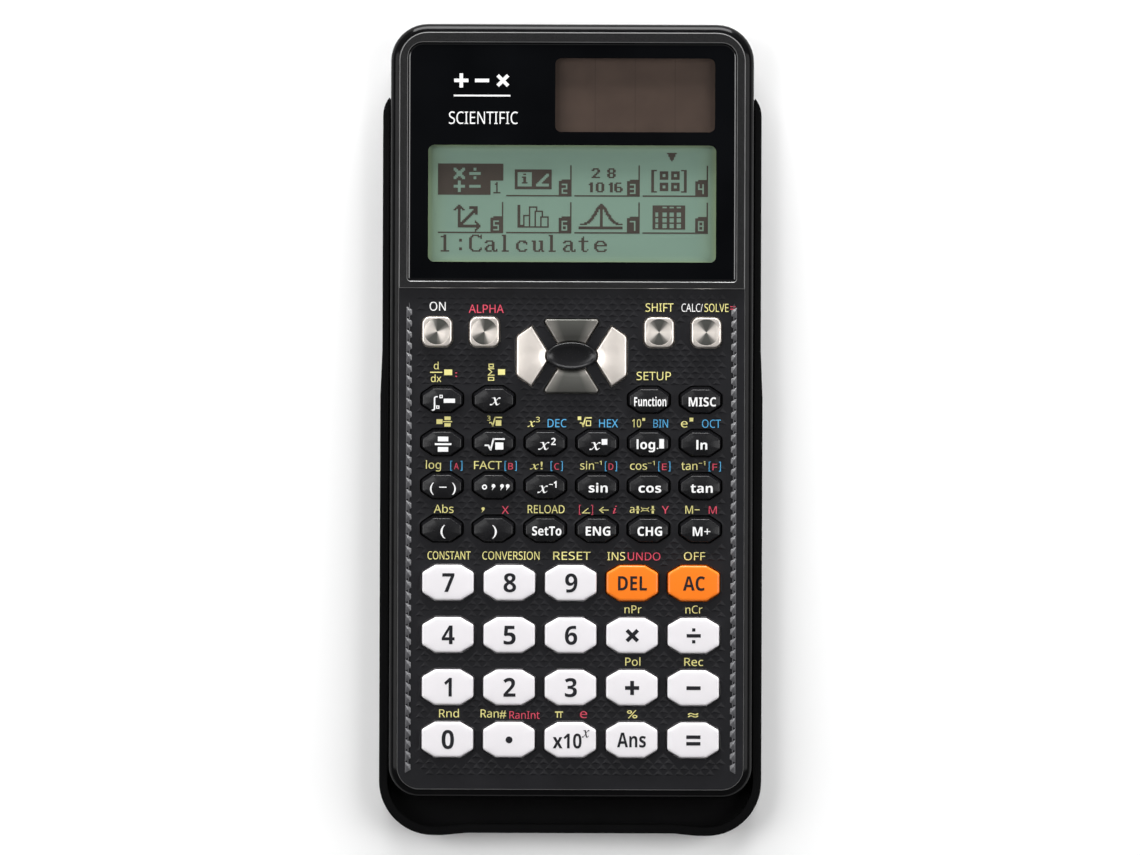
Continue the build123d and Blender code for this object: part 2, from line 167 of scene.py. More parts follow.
class ColourSettings(PropertyGroup):
    """Colours of the plastics, metals and prints."""

    face: colour("Face", "Matt plastic of the keypad face", 26, 26, 29)
    frame: colour("Frame", "Grained plastic of the display frame", 25, 25, 26)
    gloss: colour("Gloss black", "Glossy plastic of the border", 11, 11, 12)
    case: colour("Case", "Satin plastic of the back", 26, 26, 28)
    cover: colour("Cover", "Glossy plastic of the cover", 9, 9, 10)
    window: colour("Window", "Black print behind the window", 10, 11, 13)
    white: colour("White keys", "Moulded number keys", 232, 229, 232)
    orange: colour("Orange keys", "Moulded clearing keys", 255, 128, 30)
    black: colour("Black keys", "Glossy function keys", 22, 22, 24)
    print_white: colour("White print", "Legends on the black keys", 240, 240, 240)
    print_black: colour("Black print", "Legends on the pale keys", 34, 34, 38)
    print_yellow: colour("Yellow print", "Second functions on the face", 236, 228, 150)
    print_red: colour("Red print", "Letters on the face", 218, 84, 104)
    print_blue: colour("Blue print", "Number bases on the face", 92, 176, 226)
    screen: colour("Screen", "Middle of the screen", 125, 153, 137)
    # Screen edge is painted light: the screen's colour is made paler and yellower towards its
    # edges.
    screen_edge: colour("Screen edge", "Lit edge of the screen", 158, 182, 142)
    dots: colour("Dots", "Dark dots of the screen", 76, 69, 63)
    cell: colour("Solar cell", "Brown film of the solar cell", 80, 66, 58)
    # Metal and dark metal are painted highlight and painted shade: the bright and dark sectors laid
    # on the turned metal.
    metal: colour("Metal", "Bright side of the turned metal", 240, 232, 224)
    metal_dark: colour("Dark metal", "Dark side of the turned metal", 92, 92, 88)
    board: colour("Board", "Circuit board", 28, 92, 58)
    rubber: colour("Rubber", "Key mat", 150, 152, 150)
    floor: colour("Floor", "Studio floor", 255, 255, 255)


class StageSettings(PropertyGroup):
    """Camera, floor and lights."""

    lens: amount("Lens", "Focal length", 200.0, "CAMERA")
    sensor: amount("Sensor", "Width of the camera's sensor", 36.0, "CAMERA")
    field_width: length("Field", "Width of the view at the height of the face", 241.5)
    aim: FloatVectorProperty(
        name="Aim",
        description="Point under the camera",
        default=(-0.00028, 0.00058, 0.0122),
        subtype="XYZ",
    )
    roll: amount("Roll", "Turn of the camera", math.radians(0.2), "ROTATION")
    side_light: amount("Side lights", "Power of each side light", 4.1, "POWER")
    back_light: amount("Back light", "Power of the light behind", 20.0, "POWER")
    high_light: amount("High light", "Power of the small light overhead", 0.7, "POWER")
    dome: amount("Dome", "Strength of the pale surroundings", 0.2)
    floor_size: length("Floor", "Half the side of the floor", 3000.0)


SETTINGS = {
    "calculator_case": CaseSettings,
    "calculator_display": DisplaySettings,
    "calculator_keys": KeySettings,
    "calculator_colours": ColourSettings,
    "calculator_stage": StageSettings,
}


def setting(group, name):
    """A length in millimetres."""
    return getattr(getattr(bpy.context.scene, f"calculator_{group}"), name) / MM


def shade(name):
    return tuple(getattr(bpy.context.scene.calculator_colours, name))


# ---- keys: what is printed on the caps and on the face beside them, in millimetres ----
# A mark is (what, x, y, width, height): what is the name of a shape that draw() knows, or words.
# Words and roots stand on y, the other shapes have their middle there, and a box is an outline.

WORD_HEIGHT = 1.7  # of words that have no height given
BLACK_KEYS = {
    "integral": [
        ("∫", -1.8, -1.35, 1.3, 2.2),
        ("box", -0.45, 0.95, 0.7, 0.7),
        ("box", -1.15, -1.3, 0.7, 0.7),
        ("bar", 1.3, 0.05, 2.4, 0.9),
    ],
    "variable_x": [("𝑥", 0.05, -0.85, 2.3, 2.5)],
    "function": [("Function", 0, -0.95, 6.8, 1.9)],
    "misc": [("MISC", 0.1, -0.95, 5.8, 1.9)],
    "fraction": [("bar", 0, 1.1, 2.2, 1.0), ("bar", 0, 0, 3.5, 0.4), ("bar", 0, -1.1, 2.2, 1.0)],
    "square_root": [("root", 0, -1.3, 4.2, 2.6), ("bar", 0.95, -0.35, 1.7, 1.5)],
    "square": [("𝑥", -0.6, -1.1, 2.4, 2.5), ("2", 1.45, -0.1, 1.0, 1.5)],
    "power": [("𝑥", -0.7, -1.1, 2.4, 2.5), ("bar", 1.3, 0.6, 1.2, 1.2)],
    "log_base": [("log.", -0.55, -0.9, 4.6, 1.95), ("bar", 2.45, 0.25, 1.0, 2.0)],
    "natural_log": [("ln", 0, -0.95, 2.3, 1.9)],
    "negative": [("( − )", 0, -0.95, 5.5, 2.0)],
    "degrees": [("ring", -2.15, 0.1, 1.1), *(("comma", x, 0.35, 0.8) for x in (-0.25, 1.55, 2.75))],
    "reciprocal": [("𝑥", -0.8, -1.1, 2.2, 2.4), ("−1", 1.35, 0.0, 1.6, 1.4)],
    "sine": [("sin", 0, -0.95, 4.0, 1.9)],
    "cosine": [("cos", 0, -0.95, 4.8, 1.9)],
    "tangent": [("tan", 0, -0.95, 4.7, 1.9)],
    "open_bracket": [("(", 0, -0.95, 1.0, 2.2)],
    "close_bracket": [(")", 0, -0.95, 1.0, 2.2)],
    "store": [("SetTo", 0.1, -0.95, 6.2, 1.9)],
    "engineering": [("ENG", 0, -0.95, 5.2, 1.9)],
    "change": [("CHG", 0, -0.95, 5.2, 1.9)],
    "memory_plus": [("M+", 0, -0.95, 3.7, 1.9)],
}
NUMBERS = ("zero", "one", "two", "three", "four", "five", "six", "seven", "eight", "nine")
NUMBER_WIDTHS = (2.6, 1.6, 2.55, 2.55, 2.7, 2.55, 2.6, 2.55, 2.65, 2.6)
PALE_KEYS = {
    name: [(str(number), 0.05, -1.95, width, 3.95)]
    for number, (name, width) in enumerate(zip(NUMBERS, NUMBER_WIDTHS))
}
PALE_KEYS |= {
    "point": [("dot", 0, 0, 1.45)],
    "exponent": [("x10", -0.7, -1.75, 6.1, 3.1), ("𝑥", 3.2, 0.55, 1.6, 2.4)],
    "answer": [("Ans", -0.1, -1.5, 6.1, 3.1)],
    "equals": [("bar", 0, 0.7, 3.0, 0.75), ("bar", 0, -0.7, 3.0, 0.75)],
    "plus": [("plus", 0, 0, 3.0, 0.8)],
    "minus": [("bar", 0, 0, 3.0, 0.8)],
    "multiply": [("cross", 0, 0, 2.7, 0.8)],
    "divide": [("bar", 0, 0, 3.0, 0.75), ("bar", 0, 1.25, 0.7, 0.7), ("bar", 0, -1.25, 0.7, 0.7)],
}
ORANGE_KEYS = {"delete": [("DEL", 0, -1.5, 6.1, 3.0)], "all_clear": [("AC", 0, -1.5, 4.6, 3.0)]}

# Marks on the face, by colour: the key that a mark belongs to, then the mark about its middle.
FACE_LABELS = {
    "white": [("on", "ON", 0.1, 4.45, 3.4, 1.85), ("calc", "CALC/", -3.0, 4.4, 4.5)],
    "yellow": [
        ("shift", "SHIFT", 0.1, 4.4, 5.9, 1.75),
        ("calc", "SOLVE", 2.15, 4.4, 5.1),
        ("function", "SETUP", 1.0, 4.15, 7.3, 1.75),
        ("integral", "d", -1.3, 6.3, 1.0, 1.5),
        ("integral", "bar", -1.3, 5.65, 2.6, 0.22),
        ("integral", "dx", -1.3, 3.6, 2.2, 1.5),
        ("integral", "bar", 1.25, 5.65, 1.7, 1.2),
        ("variable_x", "box", -0.6, 7.1, 1.1, 0.8),
        ("variable_x", "Σ", -0.6, 5.0, 1.4, 1.5),
        ("variable_x", "box", -0.6, 4.3, 1.3, 0.8),
        ("variable_x", "bar", 1.6, 5.75, 1.5, 1.2),
        ("fraction", "bar", -0.55, 4.35, 1.3, 1.0),
        ("fraction", "bar", 1.15, 5.05, 1.3, 0.75),
        ("fraction", "bar", 1.15, 4.35, 1.9, 0.22),
        ("fraction", "bar", 1.15, 3.65, 1.3, 0.75),
        ("square_root", "3", -1.05, 4.6, 0.65, 1.0),
        ("square_root", "root", 0.4, 3.3, 2.7, 2.1),
        ("square_root", "bar", 1.0, 4.1, 1.2, 1.2),
        ("square", "𝑥", -3.0, 3.3, 1.6, 1.9),
        ("square", "3", -1.6, 4.3, 0.8, 1.1),
        ("power", "bar", -3.75, 5.15, 0.75, 0.75),
        ("power", "root", -2.4, 3.3, 2.5, 2.1),
        ("power", "box", -1.85, 4.1, 1.1, 1.2),
        ("log_base", "10", -2.6, 3.3, 1.9),
        ("log_base", "bar", -1.1, 4.95, 0.6, 0.6),
        ("natural_log", "e", -3.45, 3.3, 1.4, 1.75),
        ("natural_log", "bar", -1.95, 4.95, 0.8, 0.8),
        ("negative", "log", -1.8, 3.5, 3.2),
        ("degrees", "FACT", -1.2, 3.45, 5.9),
        ("reciprocal", "𝑥!", -1.9, 3.45, 2.7),
        ("sine", "sin", -2.1, 3.45, 2.9),
        ("sine", "−1", 0.25, 4.4, 1.4, 0.9),
        ("cosine", "cos", -2.15, 3.45, 3.6),
        ("cosine", "−1", 0.55, 4.4, 1.4, 0.9),
        ("tangent", "tan", -2.35, 3.45, 3.4),
        ("tangent", "−1", 0.3, 4.4, 1.4, 0.9),
        ("open_bracket", "Abs", 0.4, 3.3, 4.2),
        ("close_bracket", "comma", -2.2, 4.2, 0.7),
        ("store", "RELOAD", 0.2, 3.3, 7.8),
        ("engineering", "∠", -2.3, 3.3, 1.7, 1.6),
        ("engineering", "←", 1.45, 3.3, 2.1, 1.6),
        ("change", "a", -3.5, 3.45, 1.0, 1.6),
        ("change", "stack", -2.3, 4.1, 0.9),
        ("change", "arrows", -0.75, 4.15, 1.7),
        ("change", "stack", 0.9, 4.1, 0.9),
        ("memory_plus", "M−", -1.65, 3.3, 3.0),
        ("seven", "CONSTANT", 0.2, 4.85, 9.1),
        ("eight", "CONVERSION", 0.3, 4.85, 12.1),
        ("nine", "RESET", 0.2, 4.85, 7.9),
        ("delete", "INS", -3.4, 4.8, 3.8),
        ("all_clear", "OFF", 0.2, 4.85, 4.5),
        ("multiply", "nPr", 0.2, 4.65, 3.6, 1.65),
        ("divide", "nCr", 0.1, 4.65, 3.6, 1.65),
        ("plus", "Pol", 0.2, 4.6, 3.2),
        ("minus", "Rec", 0.1, 4.6, 4.0),
        ("zero", "Rnd", 0.3, 4.6, 4.2),
        ("point", "Ran#", -3.3, 4.6, 5.4),
        ("exponent", "pi", -2.4, 5.3, 1.7),
        ("answer", "%", 0.1, 4.55, 2.2, 1.75),
        ("equals", "≈", 0, 4.55, 2.2),
    ],
    "red": [
        ("alpha", "ALPHA", 0.4, 4.0, 7.4, 1.75),
        ("calc", "=", 5.65, 4.4, 1.1),
        ("integral", ":", 2.95, 4.7, 0.4, 1.5),
        ("close_bracket", "X", 2.5, 3.15, 1.5, 1.6),
        ("engineering", "𝑖", 3.8, 3.3, 0.8),
        ("change", "Y", 3.55, 3.3, 1.5, 1.6),
        ("memory_plus", "M", 2.65, 3.3, 1.7, 1.6),
        ("delete", "UNDO", 2.5, 4.8, 6.9, 1.65),
        ("point", "RanInt", 3.3, 4.35, 6.4, 1.6),
        ("exponent", "e", 2.8, 4.55, 1.5, 1.9),
    ],
    "blue": [
        ("square", "DEC", 2.45, 3.25, 4.0),
        ("power", "HEX", 2.4, 3.25, 4.0),
        ("log_base", "BIN", 2.5, 3.25, 3.1),
        ("natural_log", "OCT", 2.3, 3.25, 4.0),
    ],
}
# Letters in square brackets over the third row: how far each stands to the right of its key.
BRACKETED = (
    ("negative", 3.05), ("degrees", 3.6), ("reciprocal", 2.4),
    ("sine", 2.95), ("cosine", 3.3), ("tangent", 3.05),
)
for letter, (key, right) in zip("ABCDEF", BRACKETED):
    FACE_LABELS["red"].append((key, letter, right, 3.4, 1.0, 1.35))
    FACE_LABELS["blue"].append((key, "brackets", right, 4.15, 1.2))
FACE_LABELS["red"].append(("engineering", "brackets", -2.3, 4.05, 1.4))

# The emblem, from the window's upper left corner.
EMBLEM = (
    ("plus", 11.2, -8.0, 3.0, 0.75),
    ("bar", 15.6, -8.0, 3.0, 0.75),
    ("cross", 20.0, -8.0, 2.6, 0.75),
    ("bar", 15.6, -11.2, 12.0, 0.35),
    ("SCIENTIFIC", 15.9, -17.2, 14.6, 2.6),
)
# Where the capitals, the small letters and the digits start in each sans-serif alphabet.
SANS, SANS_BOLD = (0x1D5A0, 0x1D5BA, 0x1D7E2), (0x1D5D4, 0x1D5EE, 0x1D7EC)
PAD_KEYS = ("up", "down", "left", "right")
# The turn also sets where each metal key's painted highlight and painted shade sectors fall.
MODE_KEYS = {"on": 25, "alpha": 25, "shift": 0, "calc": 0}  # turn of the lathe marks, degrees

# ---- outlines, in millimetres ----


def rounded(width, low, high, top_radius, bottom_radius, x=0.0):
    """Anticlockwise rectangle about x with rounded corners, always of as many points."""
    half = width / 2
    corners = (
        (half - bottom_radius, low + bottom_radius, bottom_radius, -90),
        (half - top_radius, high - top_radius, top_radius, 0),
        (top_radius - half, high - top_radius, top_radius, 90),
        (bottom_radius - half, low + bottom_radius, bottom_radius, 180),
    )
    return [
        (x + cx + r * math.cos(math.radians(a)), cy + r * math.sin(math.radians(a)))
        for cx, cy, r, start in corners
        for a in (start + 90 * k / CORNER_STEPS for k in range(CORNER_STEPS + 1))
    ]


def oval(half_width, half_length, x, y, count=72):
    turns = (math.tau * k / count for k in range(count))
    return [(x + half_width * math.cos(t), y + half_length * math.sin(t)) for t in turns]


def moved(outline, reach):
    """The outline pushed outwards by reach, or inwards if it is negative."""
    found = []
    for i, (x, y) in enumerate(outline):
        before, after = outline[i - 1], outline[(i + 1) % len(outline)]
        a = Vector((y - before[1], before[0] - x)).normalized()
        b = Vector((after[1] - y, x - after[0])).normalized()
        push = (a + b) * (reach / max(1 + a.dot(b), 0.4))
        found.append((x + push.x, y + push.y))
    return found


def divided(outline, most):
    """The outline with points added so that no side is longer than most."""
    found = []
    for i, start in enumerate(outline):
        a, b = Vector(start), Vector(outline[(i + 1) % len(outline)])
        parts = max(1, math.ceil((b - a).length / most))
        found += [tuple(a.lerp(b, k / parts)) for k in range(parts)]
    return found


def inside(point, outline):
    x, y = point
    hit = False
    for i, (x1, y1) in enumerate(outline):
        x0, y0 = outline[i - 1]
        if (y0 > y) != (y1 > y) and x < (x1 - x0) * (y - y0) / (y1 - y0) + x0:
            hit = not hit
    return hit


def lifted(outline, z, y=0.0):
    return [(px, py + y, z) for px, py in outline]


def corners_mm(node):
    low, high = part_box(node)
    return low / MM, high / MM


def key_middle(name):
    low, high = corners_mm(f"key_{name}")
    return (low.x + high.x) / 2, (low.y + high.y) / 2


METAL_RIM = 0.3  # radius of the rounded rim of the metal keys, millimetres
DISH = (7.2, 4.6)  # half axes of the edge of the dish round the pad's boss, millimetres
CAP_PLANS = {}


def cap_plan(name):
    """Plan of a cap, anticlockwise, read from the packed key at the foot of its eased rim."""
    if name in CAP_PLANS:
        return CAP_PLANS[name]
    node = f"key_{name}"
    edge = setting("keys", "pad_edge" if name in PAD_KEYS else "cap_edge")
    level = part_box(node)[1].z - edge * MM
    copy = bmesh.new()
    copy.from_mesh(frame["nodes"][node].data)
    bmesh.ops.remove_doubles(copy, verts=copy.verts, dist=1e-6)
    beside = {}
    for line in copy.edges:
        a, b = line.verts
        if abs(a.co.z - level) < 3e-6 and abs(b.co.z - level) < 3e-6:
            beside.setdefault(a.index, []).append(b)
            beside.setdefault(b.index, []).append(a)
    if not beside or any(len(pair) != 2 for pair in beside.values()):
        raise ValueError(f"{node} has no clean outline at its rim")
    copy.verts.ensure_lookup_table()
    start = copy.verts[min(beside)]
    before, here, plan = None, start, []
    while True:
        plan.append((here.co.x / MM, here.co.y / MM))
        step = next(v for v in beside[here.index] if v is not before)
        before, here = here, step
        if here is start:
            break
    area = sum(plan[i - 1][0] * y - x * plan[i - 1][1] for i, (x, y) in enumerate(plan))
    copy.free()
    CAP_PLANS[name] = plan if area > 0 else plan[::-1]
    return CAP_PLANS[name]


def all_keys():
    return [node[4:] for node in frame["nodes"] if node.startswith("key_") and node != "key_mat"]


def field(outer, zones=(), lines=(), extra=()):
    """Triangles that fill an outline, with the zones and lines kept as edges.

    Returns the points, where each came from (an index into outline, zones, lines and extra points
    in turn, or None) and the triangles with the number of the zone that each lies in, or -1.
    """
    points, edges, faces = [], [], []
    for loop in (outer, *zones):
        faces.append(list(range(len(points), len(points) + len(loop))))
        points += [Vector(p) for p in loop]
    for line in lines:
        start = len(points)
        points += [Vector(p) for p in line]
        edges += [(start + k, start + k + 1) for k in range(len(line) - 1)]
    points += [Vector(p) for p in extra]
    out, _, triangles, origins, _, homes = delaunay_2d_cdt(points, edges, faces, 0, 1e-5)
    kept = []
    for triangle, home in zip(triangles, homes):
        if 0 in home:
            kept.append((list(triangle), max(home) - 1))
    sources = [min(found) if found else None for found in origins]
    return [tuple(p) for p in out], sources, kept


def rims(triangles):
    """Ordered loops of the edges that only one triangle has."""
    follow = {}
    sides = {(t[k], t[(k + 1) % 3]) for t in triangles for k in range(3)}
    for a, b in sides:
        if (b, a) not in sides:
            follow[a] = b
    loops = []
    while follow:
        start, here = follow.popitem()
        loop = [start]
        while here != start:
            loop.append(here)
            here = follow.pop(here)
        loops.append(loop)
    return loops


# ---- meshes ----


class Skin:
    """Collects points and faces in millimetres, and makes a piece of them."""

    def __init__(self):
        self.points, self.faces, self.finishes = [], [], []

    def add(self, points, faces, finish=0):
        start = len(self.points)
        self.points += [tuple(p) for p in points]
        self.faces += [[start + i for i in face] for face in faces]
        self.finishes += finish if isinstance(finish, list) else [finish] * len(faces)

    def loft(self, rings, finish=0, low=True, high=True, tube=False):
        """Skins rings of equally many points, anticlockwise and from the bottom up."""
        n, faces = len(rings[0]), []
        for k in range(len(rings) - (not tube)):
            a, b = k * n, (k + 1) % len(rings) * n
            faces += [[a + i, a + (i + 1) % n, b + (i + 1) % n, b + i] for i in range(n)]
        if low and not tube:
            faces.append(list(range(n))[::-1])
        if high and not tube:
            faces.append([(len(rings) - 1) * n + i for i in range(n)])
        self.add([p for ring in rings for p in ring], faces, finish)

    def prism(self, outline, low, high, finish=0):
        self.loft([lifted(outline, low), lifted(outline, high)], finish)

    def mesh(self, name, finishes, angle):
        mesh = bpy.data.meshes.new(name)
        mesh.from_pydata([Vector(p) * MM for p in self.points], [], self.faces)
        for finish in finishes:
            mesh.materials.append(finish)
        mesh.polygons.foreach_set("material_index", self.finishes)
        tidy(mesh, angle)
        return mesh


def tidy(mesh, angle):
    """Merges doubled points and sets smooth shading up to an angle."""
    work = bmesh.new()
    work.from_mesh(mesh)
    bmesh.ops.remove_doubles(work, verts=work.verts, dist=2e-7)
    work.to_mesh(mesh)
    work.free()
    mesh.shade_smooth()
    mesh.set_sharp_from_angle(angle=math.radians(angle))


def settle(mesh, name, body, replaced=()):
    """Makes a finished mesh a piece of the model."""
    mesh.name = name
    piece = bpy.data.objects.new(name, mesh)
    bpy.context.scene.collection.objects.link(piece)
    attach(piece, body)
    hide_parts(*replaced)


def spin_map(mesh, x, y, turn=0.0):
    """A UV map in millimetres about a point, for lathe marks and the painted highlight and painted
    shade sectors of the turned metal.
    """
    layer = mesh.uv_layers.new(name="lathe")
    c, s = math.cos(math.radians(turn)), math.sin(math.radians(turn))
    for corner in mesh.loops:
        p = mesh.vertices[corner.vertex_index].co
        u, v = p.x / MM - x, p.y / MM - y
        layer.data[corner.index].uv = (u * c - v * s, u * s + v * c)


LETTERS = {}


def sans_letter(letter, alphabet):
    for start, first, last in zip(alphabet, "Aa0", "Zz9"):
        if first <= letter <= last:
            return chr(start + ord(letter) - ord(first))
    return letter


def letters(words, alphabet):
    """Solid letters, one unit of depth about zero, as points and faces."""
    if (words, alphabet) in LETTERS:
        return LETTERS[words, alphabet]
    curve = bpy.data.curves.new("letters", "FONT")
    curve.extrude = 0.5
    curve.resolution_u = 3
    curve.body = "".join(sans_letter(letter, alphabet) for letter in words)
    worker = bpy.data.objects.new("letters", curve)
    bpy.context.scene.collection.objects.link(worker)
    graph = bpy.context.evaluated_depsgraph_get()
    mesh = bpy.data.meshes.new_from_object(worker.evaluated_get(graph))
    work = bmesh.new()
    work.from_mesh(mesh)
    bmesh.ops.remove_doubles(work, verts=work.verts, dist=1e-4)
    bmesh.ops.recalc_face_normals(work, faces=work.faces)
    work.verts.ensure_lookup_table()
    points = [tuple(v.co) for v in work.verts]
    faces = [[v.index for v in face.verts] for face in work.faces]
    work.free()
    bpy.data.objects.remove(worker)
    bpy.data.curves.remove(curve)
    bpy.data.meshes.remove(mesh)
    LETTERS[words, alphabet] = points, faces
    return points, faces


CAPITAL = 0.714  # height of the capitals of letters of size 1


def draw(skin, mark, x, y, low, high, finish=0, alphabet=SANS):
    """Adds one printed mark about a point, between two heights."""
    kind, dx, dy, width, height = (*mark, WORD_HEIGHT)[:5]
    cx, cy = x + dx, y + dy

    def bar(bx, by, w, h, turn=0.0):
        c, s = math.cos(math.radians(turn)), math.sin(math.radians(turn))
        plan = [(-w / 2, -h / 2), (w / 2, -h / 2), (w / 2, h / 2), (-w / 2, h / 2)]
        turned = [(cx + bx + u * c - v * s, cy + by + u * s + v * c) for u, v in plan]
        skin.prism(turned, low, high, finish)

    if kind == "bar":
        bar(0, 0, width, height)
    elif kind == "box":
        line = 0.2
        for side in (-1, 1):
            bar(side * (width - line) / 2, 0, line, height)
            bar(0, side * (height - line) / 2, width - 2 * line, line)
    elif kind == "dot":
        skin.prism(oval(width / 2, width / 2, cx, cy, 24), low, high, finish)
    elif kind == "ring":
        outer, inner = (oval(width / part, width / part, cx, cy, 20) for part in (2, 4))
        levels = (outer, low), (outer, high), (inner, high), (inner, low)
        rings = [lifted(plan, z) for plan, z in levels]
        skin.loft(rings, finish, tube=True)
    elif kind in ("plus", "cross"):
        long, half = width / 2 * (1 if kind == "plus" else 1.2), height / 2
        turn = Matrix.Rotation(math.radians(0 if kind == "plus" else 45), 2)
        arm = [Vector((long, -half)), Vector((long, half)), Vector((half, half))]
        plan = [turn @ Matrix.Rotation(math.tau * k / 4, 2) @ p for k in range(4) for p in arm]
        skin.prism([(cx + p.x, cy + p.y) for p in plan], low, high, finish)
    elif kind == "comma":
        r = width / 2
        turns = [math.radians(-40 + 29 * k) for k in range(11)]
        plan = [(cx + r * math.cos(t), cy + r * math.sin(t)) for t in turns]
        skin.prism([*plan, (cx - 0.9 * r, cy - 2.4 * r)], low, high, finish)
    elif kind == "root":
        line, left = 0.13 * height, -width / 2
        bar(left + 0.08 * width, 0.42 * height, 0.18 * width, line)
        bar(left + 0.22 * width, 0.27 * height, 0.42 * height, line, -65)
        bar(left + 0.36 * width, 0.5 * height, height, line, 75)
        bar(left + 0.71 * width, height - line / 2, 0.58 * width, line)
    elif kind == "stack":
        bar(0, 0, width, 0.16)
        bar(0, 0.5, 0.5 * width, 0.6)
        bar(0, -0.5, 0.5 * width, 0.6)
    elif kind == "arrows":
        for side in (-1, 1):
            bar(0, side * 0.22, 0.7 * width, 0.14)
            for turn in (-45, 45):
                bar(side * 0.36 * width, side * math.copysign(0.22, turn), 0.65, 0.16, turn)
    elif kind == "pi":
        bar(0, 0.5, width, 0.28)
        bar(-0.2 * width, -0.15, 0.22, 1.1)
        bar(0.22 * width, -0.15, 0.22, 1.1)
    elif kind == "brackets":
        for side in (-1, 1):
            bar(side * width, 0, 0.16, 2.1)
            for end in (-1, 1):
                bar(side * (width - 0.15), end * 0.97, 0.3, 0.16)
    else:
        points, faces = letters(kind, alphabet)
        left, right = min(p[0] for p in points), max(p[0] for p in points)
        wide, tall = width / (right - left), height / CAPITAL
        middle = (left + right) / 2
        placed = [
            (cx + (px - middle) * wide, cy + py * tall, low + (pz + 0.5) * (high - low))
            for px, py, pz in points
        ]
        skin.add(placed, faces, finish)


# ---- finishes: each is a procedural material, made the first time that it is asked for ----


def node(tree, kind, settings=None, **values):
    found = tree.nodes.new(f"ShaderNode{kind}")
    for name, value in (settings or {}).items():
        setattr(found, name, value)
    for name, value in values.items():
        found.inputs[name.replace("_", " ")].default_value = value
    return found


def wire(tree, *links):
    for source, target in links:
        tree.links.new(source, target)


def blank(name, looks):
    """A new material with its shader's plain numbers set."""
    finish = bpy.data.materials.new(name)
    finish.use_nodes = True
    shader = finish.node_tree.nodes["Principled BSDF"]
    for label, value in looks.items():
        shader.inputs[label].default_value = value
    return finish, finish.node_tree, shader


def mottled(tree, low, high, size, coords):
    """A colour that drifts between two, in patches of about the given size in millimetres."""
    cloud = node(tree, "TexNoise", Scale=1 / (size * MM), Detail=3.0)
    ramp = node(tree, "ValToRGB")
    for stop, place, tone in zip(ramp.color_ramp.elements, (0.35, 0.65), (low, high)):
        stop.position = place
        stop.color = (*tone, 1)
    wire(tree, (coords, cloud.inputs["Vector"]), (cloud.outputs["Fac"], ramp.inputs["Fac"]))
    return ramp.outputs["Color"]


def rough_and_bump(tree, shader, coords, roughness, vary, grain, depth):
    """Fine grain: the roughness varies with it, and the surface rises and falls by depth."""
    speckle = node(tree, "TexNoise", Scale=1 / (grain * MM), Detail=2.0)
    spread = node(tree, "MapRange")
    spread.inputs["To Min"].default_value = max(roughness - vary, 0.02)
    spread.inputs["To Max"].default_value = roughness + vary
    bump = node(tree, "Bump", Strength=1.0, Distance=depth * MM)
    wire(
        tree,
        (coords, speckle.inputs["Vector"]),
        (speckle.outputs["Fac"], spread.inputs["Value"]),
        (spread.outputs["Result"], shader.inputs["Roughness"]),
        (speckle.outputs["Fac"], bump.inputs["Height"]),
        (bump.outputs["Normal"], shader.inputs["Normal"]),
    )


# Finishes in one colour: the name of its setting or 0-255 numbers, the roughness and how much it
# varies, how much the colour drifts and in patches of what size, the size and depth of the grain,
# then the specular level, the metallic part and the opacity, where they aren't the shader's own.
FINISHES = {
    "face plastic": ("face", 0.42, 0.1, 0.12, 6.0, 0.12, 0.006, 0.22),
    # The studs' lighter grey is a painted highlight on their facets; they are moulded in the same
    # plastic as the face.
    "stud plastic": ((92, 92, 95), 0.3, 0.1, 0.12, 1.0, 0.12, 0.003),
    "frame plastic": ("frame", 0.5, 0.15, 0.35, 0.3, 0.16, 0.03, 0.2),
    "gloss plastic": ("gloss", 0.12, 0.03, 0.15, 6.0, 0.25, 0.0003, 0.1),
    # The polished edge is a painted highlight: light grey standing in for the light caught by thin
    # creases of the black case.
    "polished edge": ((120, 120, 120), 0.2, 0.05, 0.1, 6.0, 0.25, 0.0003),
    "window print": ("window", 0.05, 0.02, 0.2, 20.0, 0.25, 0.0001),
    "clear window": ((46, 47, 48), 0.05, 0.02, 0.1, 6.0, 0.25, 0.0001, 0.5, 0.0, 0.06),
    "window edge": ("window", 0.16, 0.04, 0.2, 6.0, 0.25, 0.0005, 1.0),
    "white key plastic": ("white", 0.3, 0.06, 0.015, 6.0, 0.3, 0.001),
    "orange key plastic": ("orange", 0.3, 0.06, 0.02, 6.0, 0.3, 0.001),
    "black key plastic": ("black", 0.27, 0.01, 0.1, 6.0, 0.4, 0.0001),
    "cover plastic": ("cover", 0.24, 0.05, 0.15, 12.0, 0.3, 0.001, 0.4),
    "case plastic": ("case", 0.45, 0.08, 0.12, 4.0, 0.15, 0.008),
    "dot film": ("dots", 0.6, 0.05, 0.08, 8.0, 0.25, 0.002, 0.1),
    "bright metal": ("metal", 0.3, 0.08, 0.06, 2.0, 0.2, 0.001, 0.5, 0.6),
    "board varnish": ("board", 0.35, 0.08, 0.25, 2.0, 0.2, 0.004),
    "key rubber": ("rubber", 0.6, 0.08, 0.06, 4.0, 0.2, 0.004),
    "brushed steel": ((196, 196, 192), 0.3, 0.1, 0.1, 1.5, 0.1, 0.002, 0.5, 1.0),
    "blackened steel": ((70, 70, 72), 0.4, 0.1, 0.2, 0.6, 0.1, 0.002, 0.5, 1.0),
    "floor paper": ("floor", 0.9, 0.05, 0.01, 60.0, 2.0, 0.001, 0.1),
}
for tone in ("white", "black", "yellow", "red", "blue"):
    FINISHES[f"{tone} print"] = (f"print_{tone}", 0.5, 0.08, 0.06, 3.0, 0.15, 0.003, 0.12)


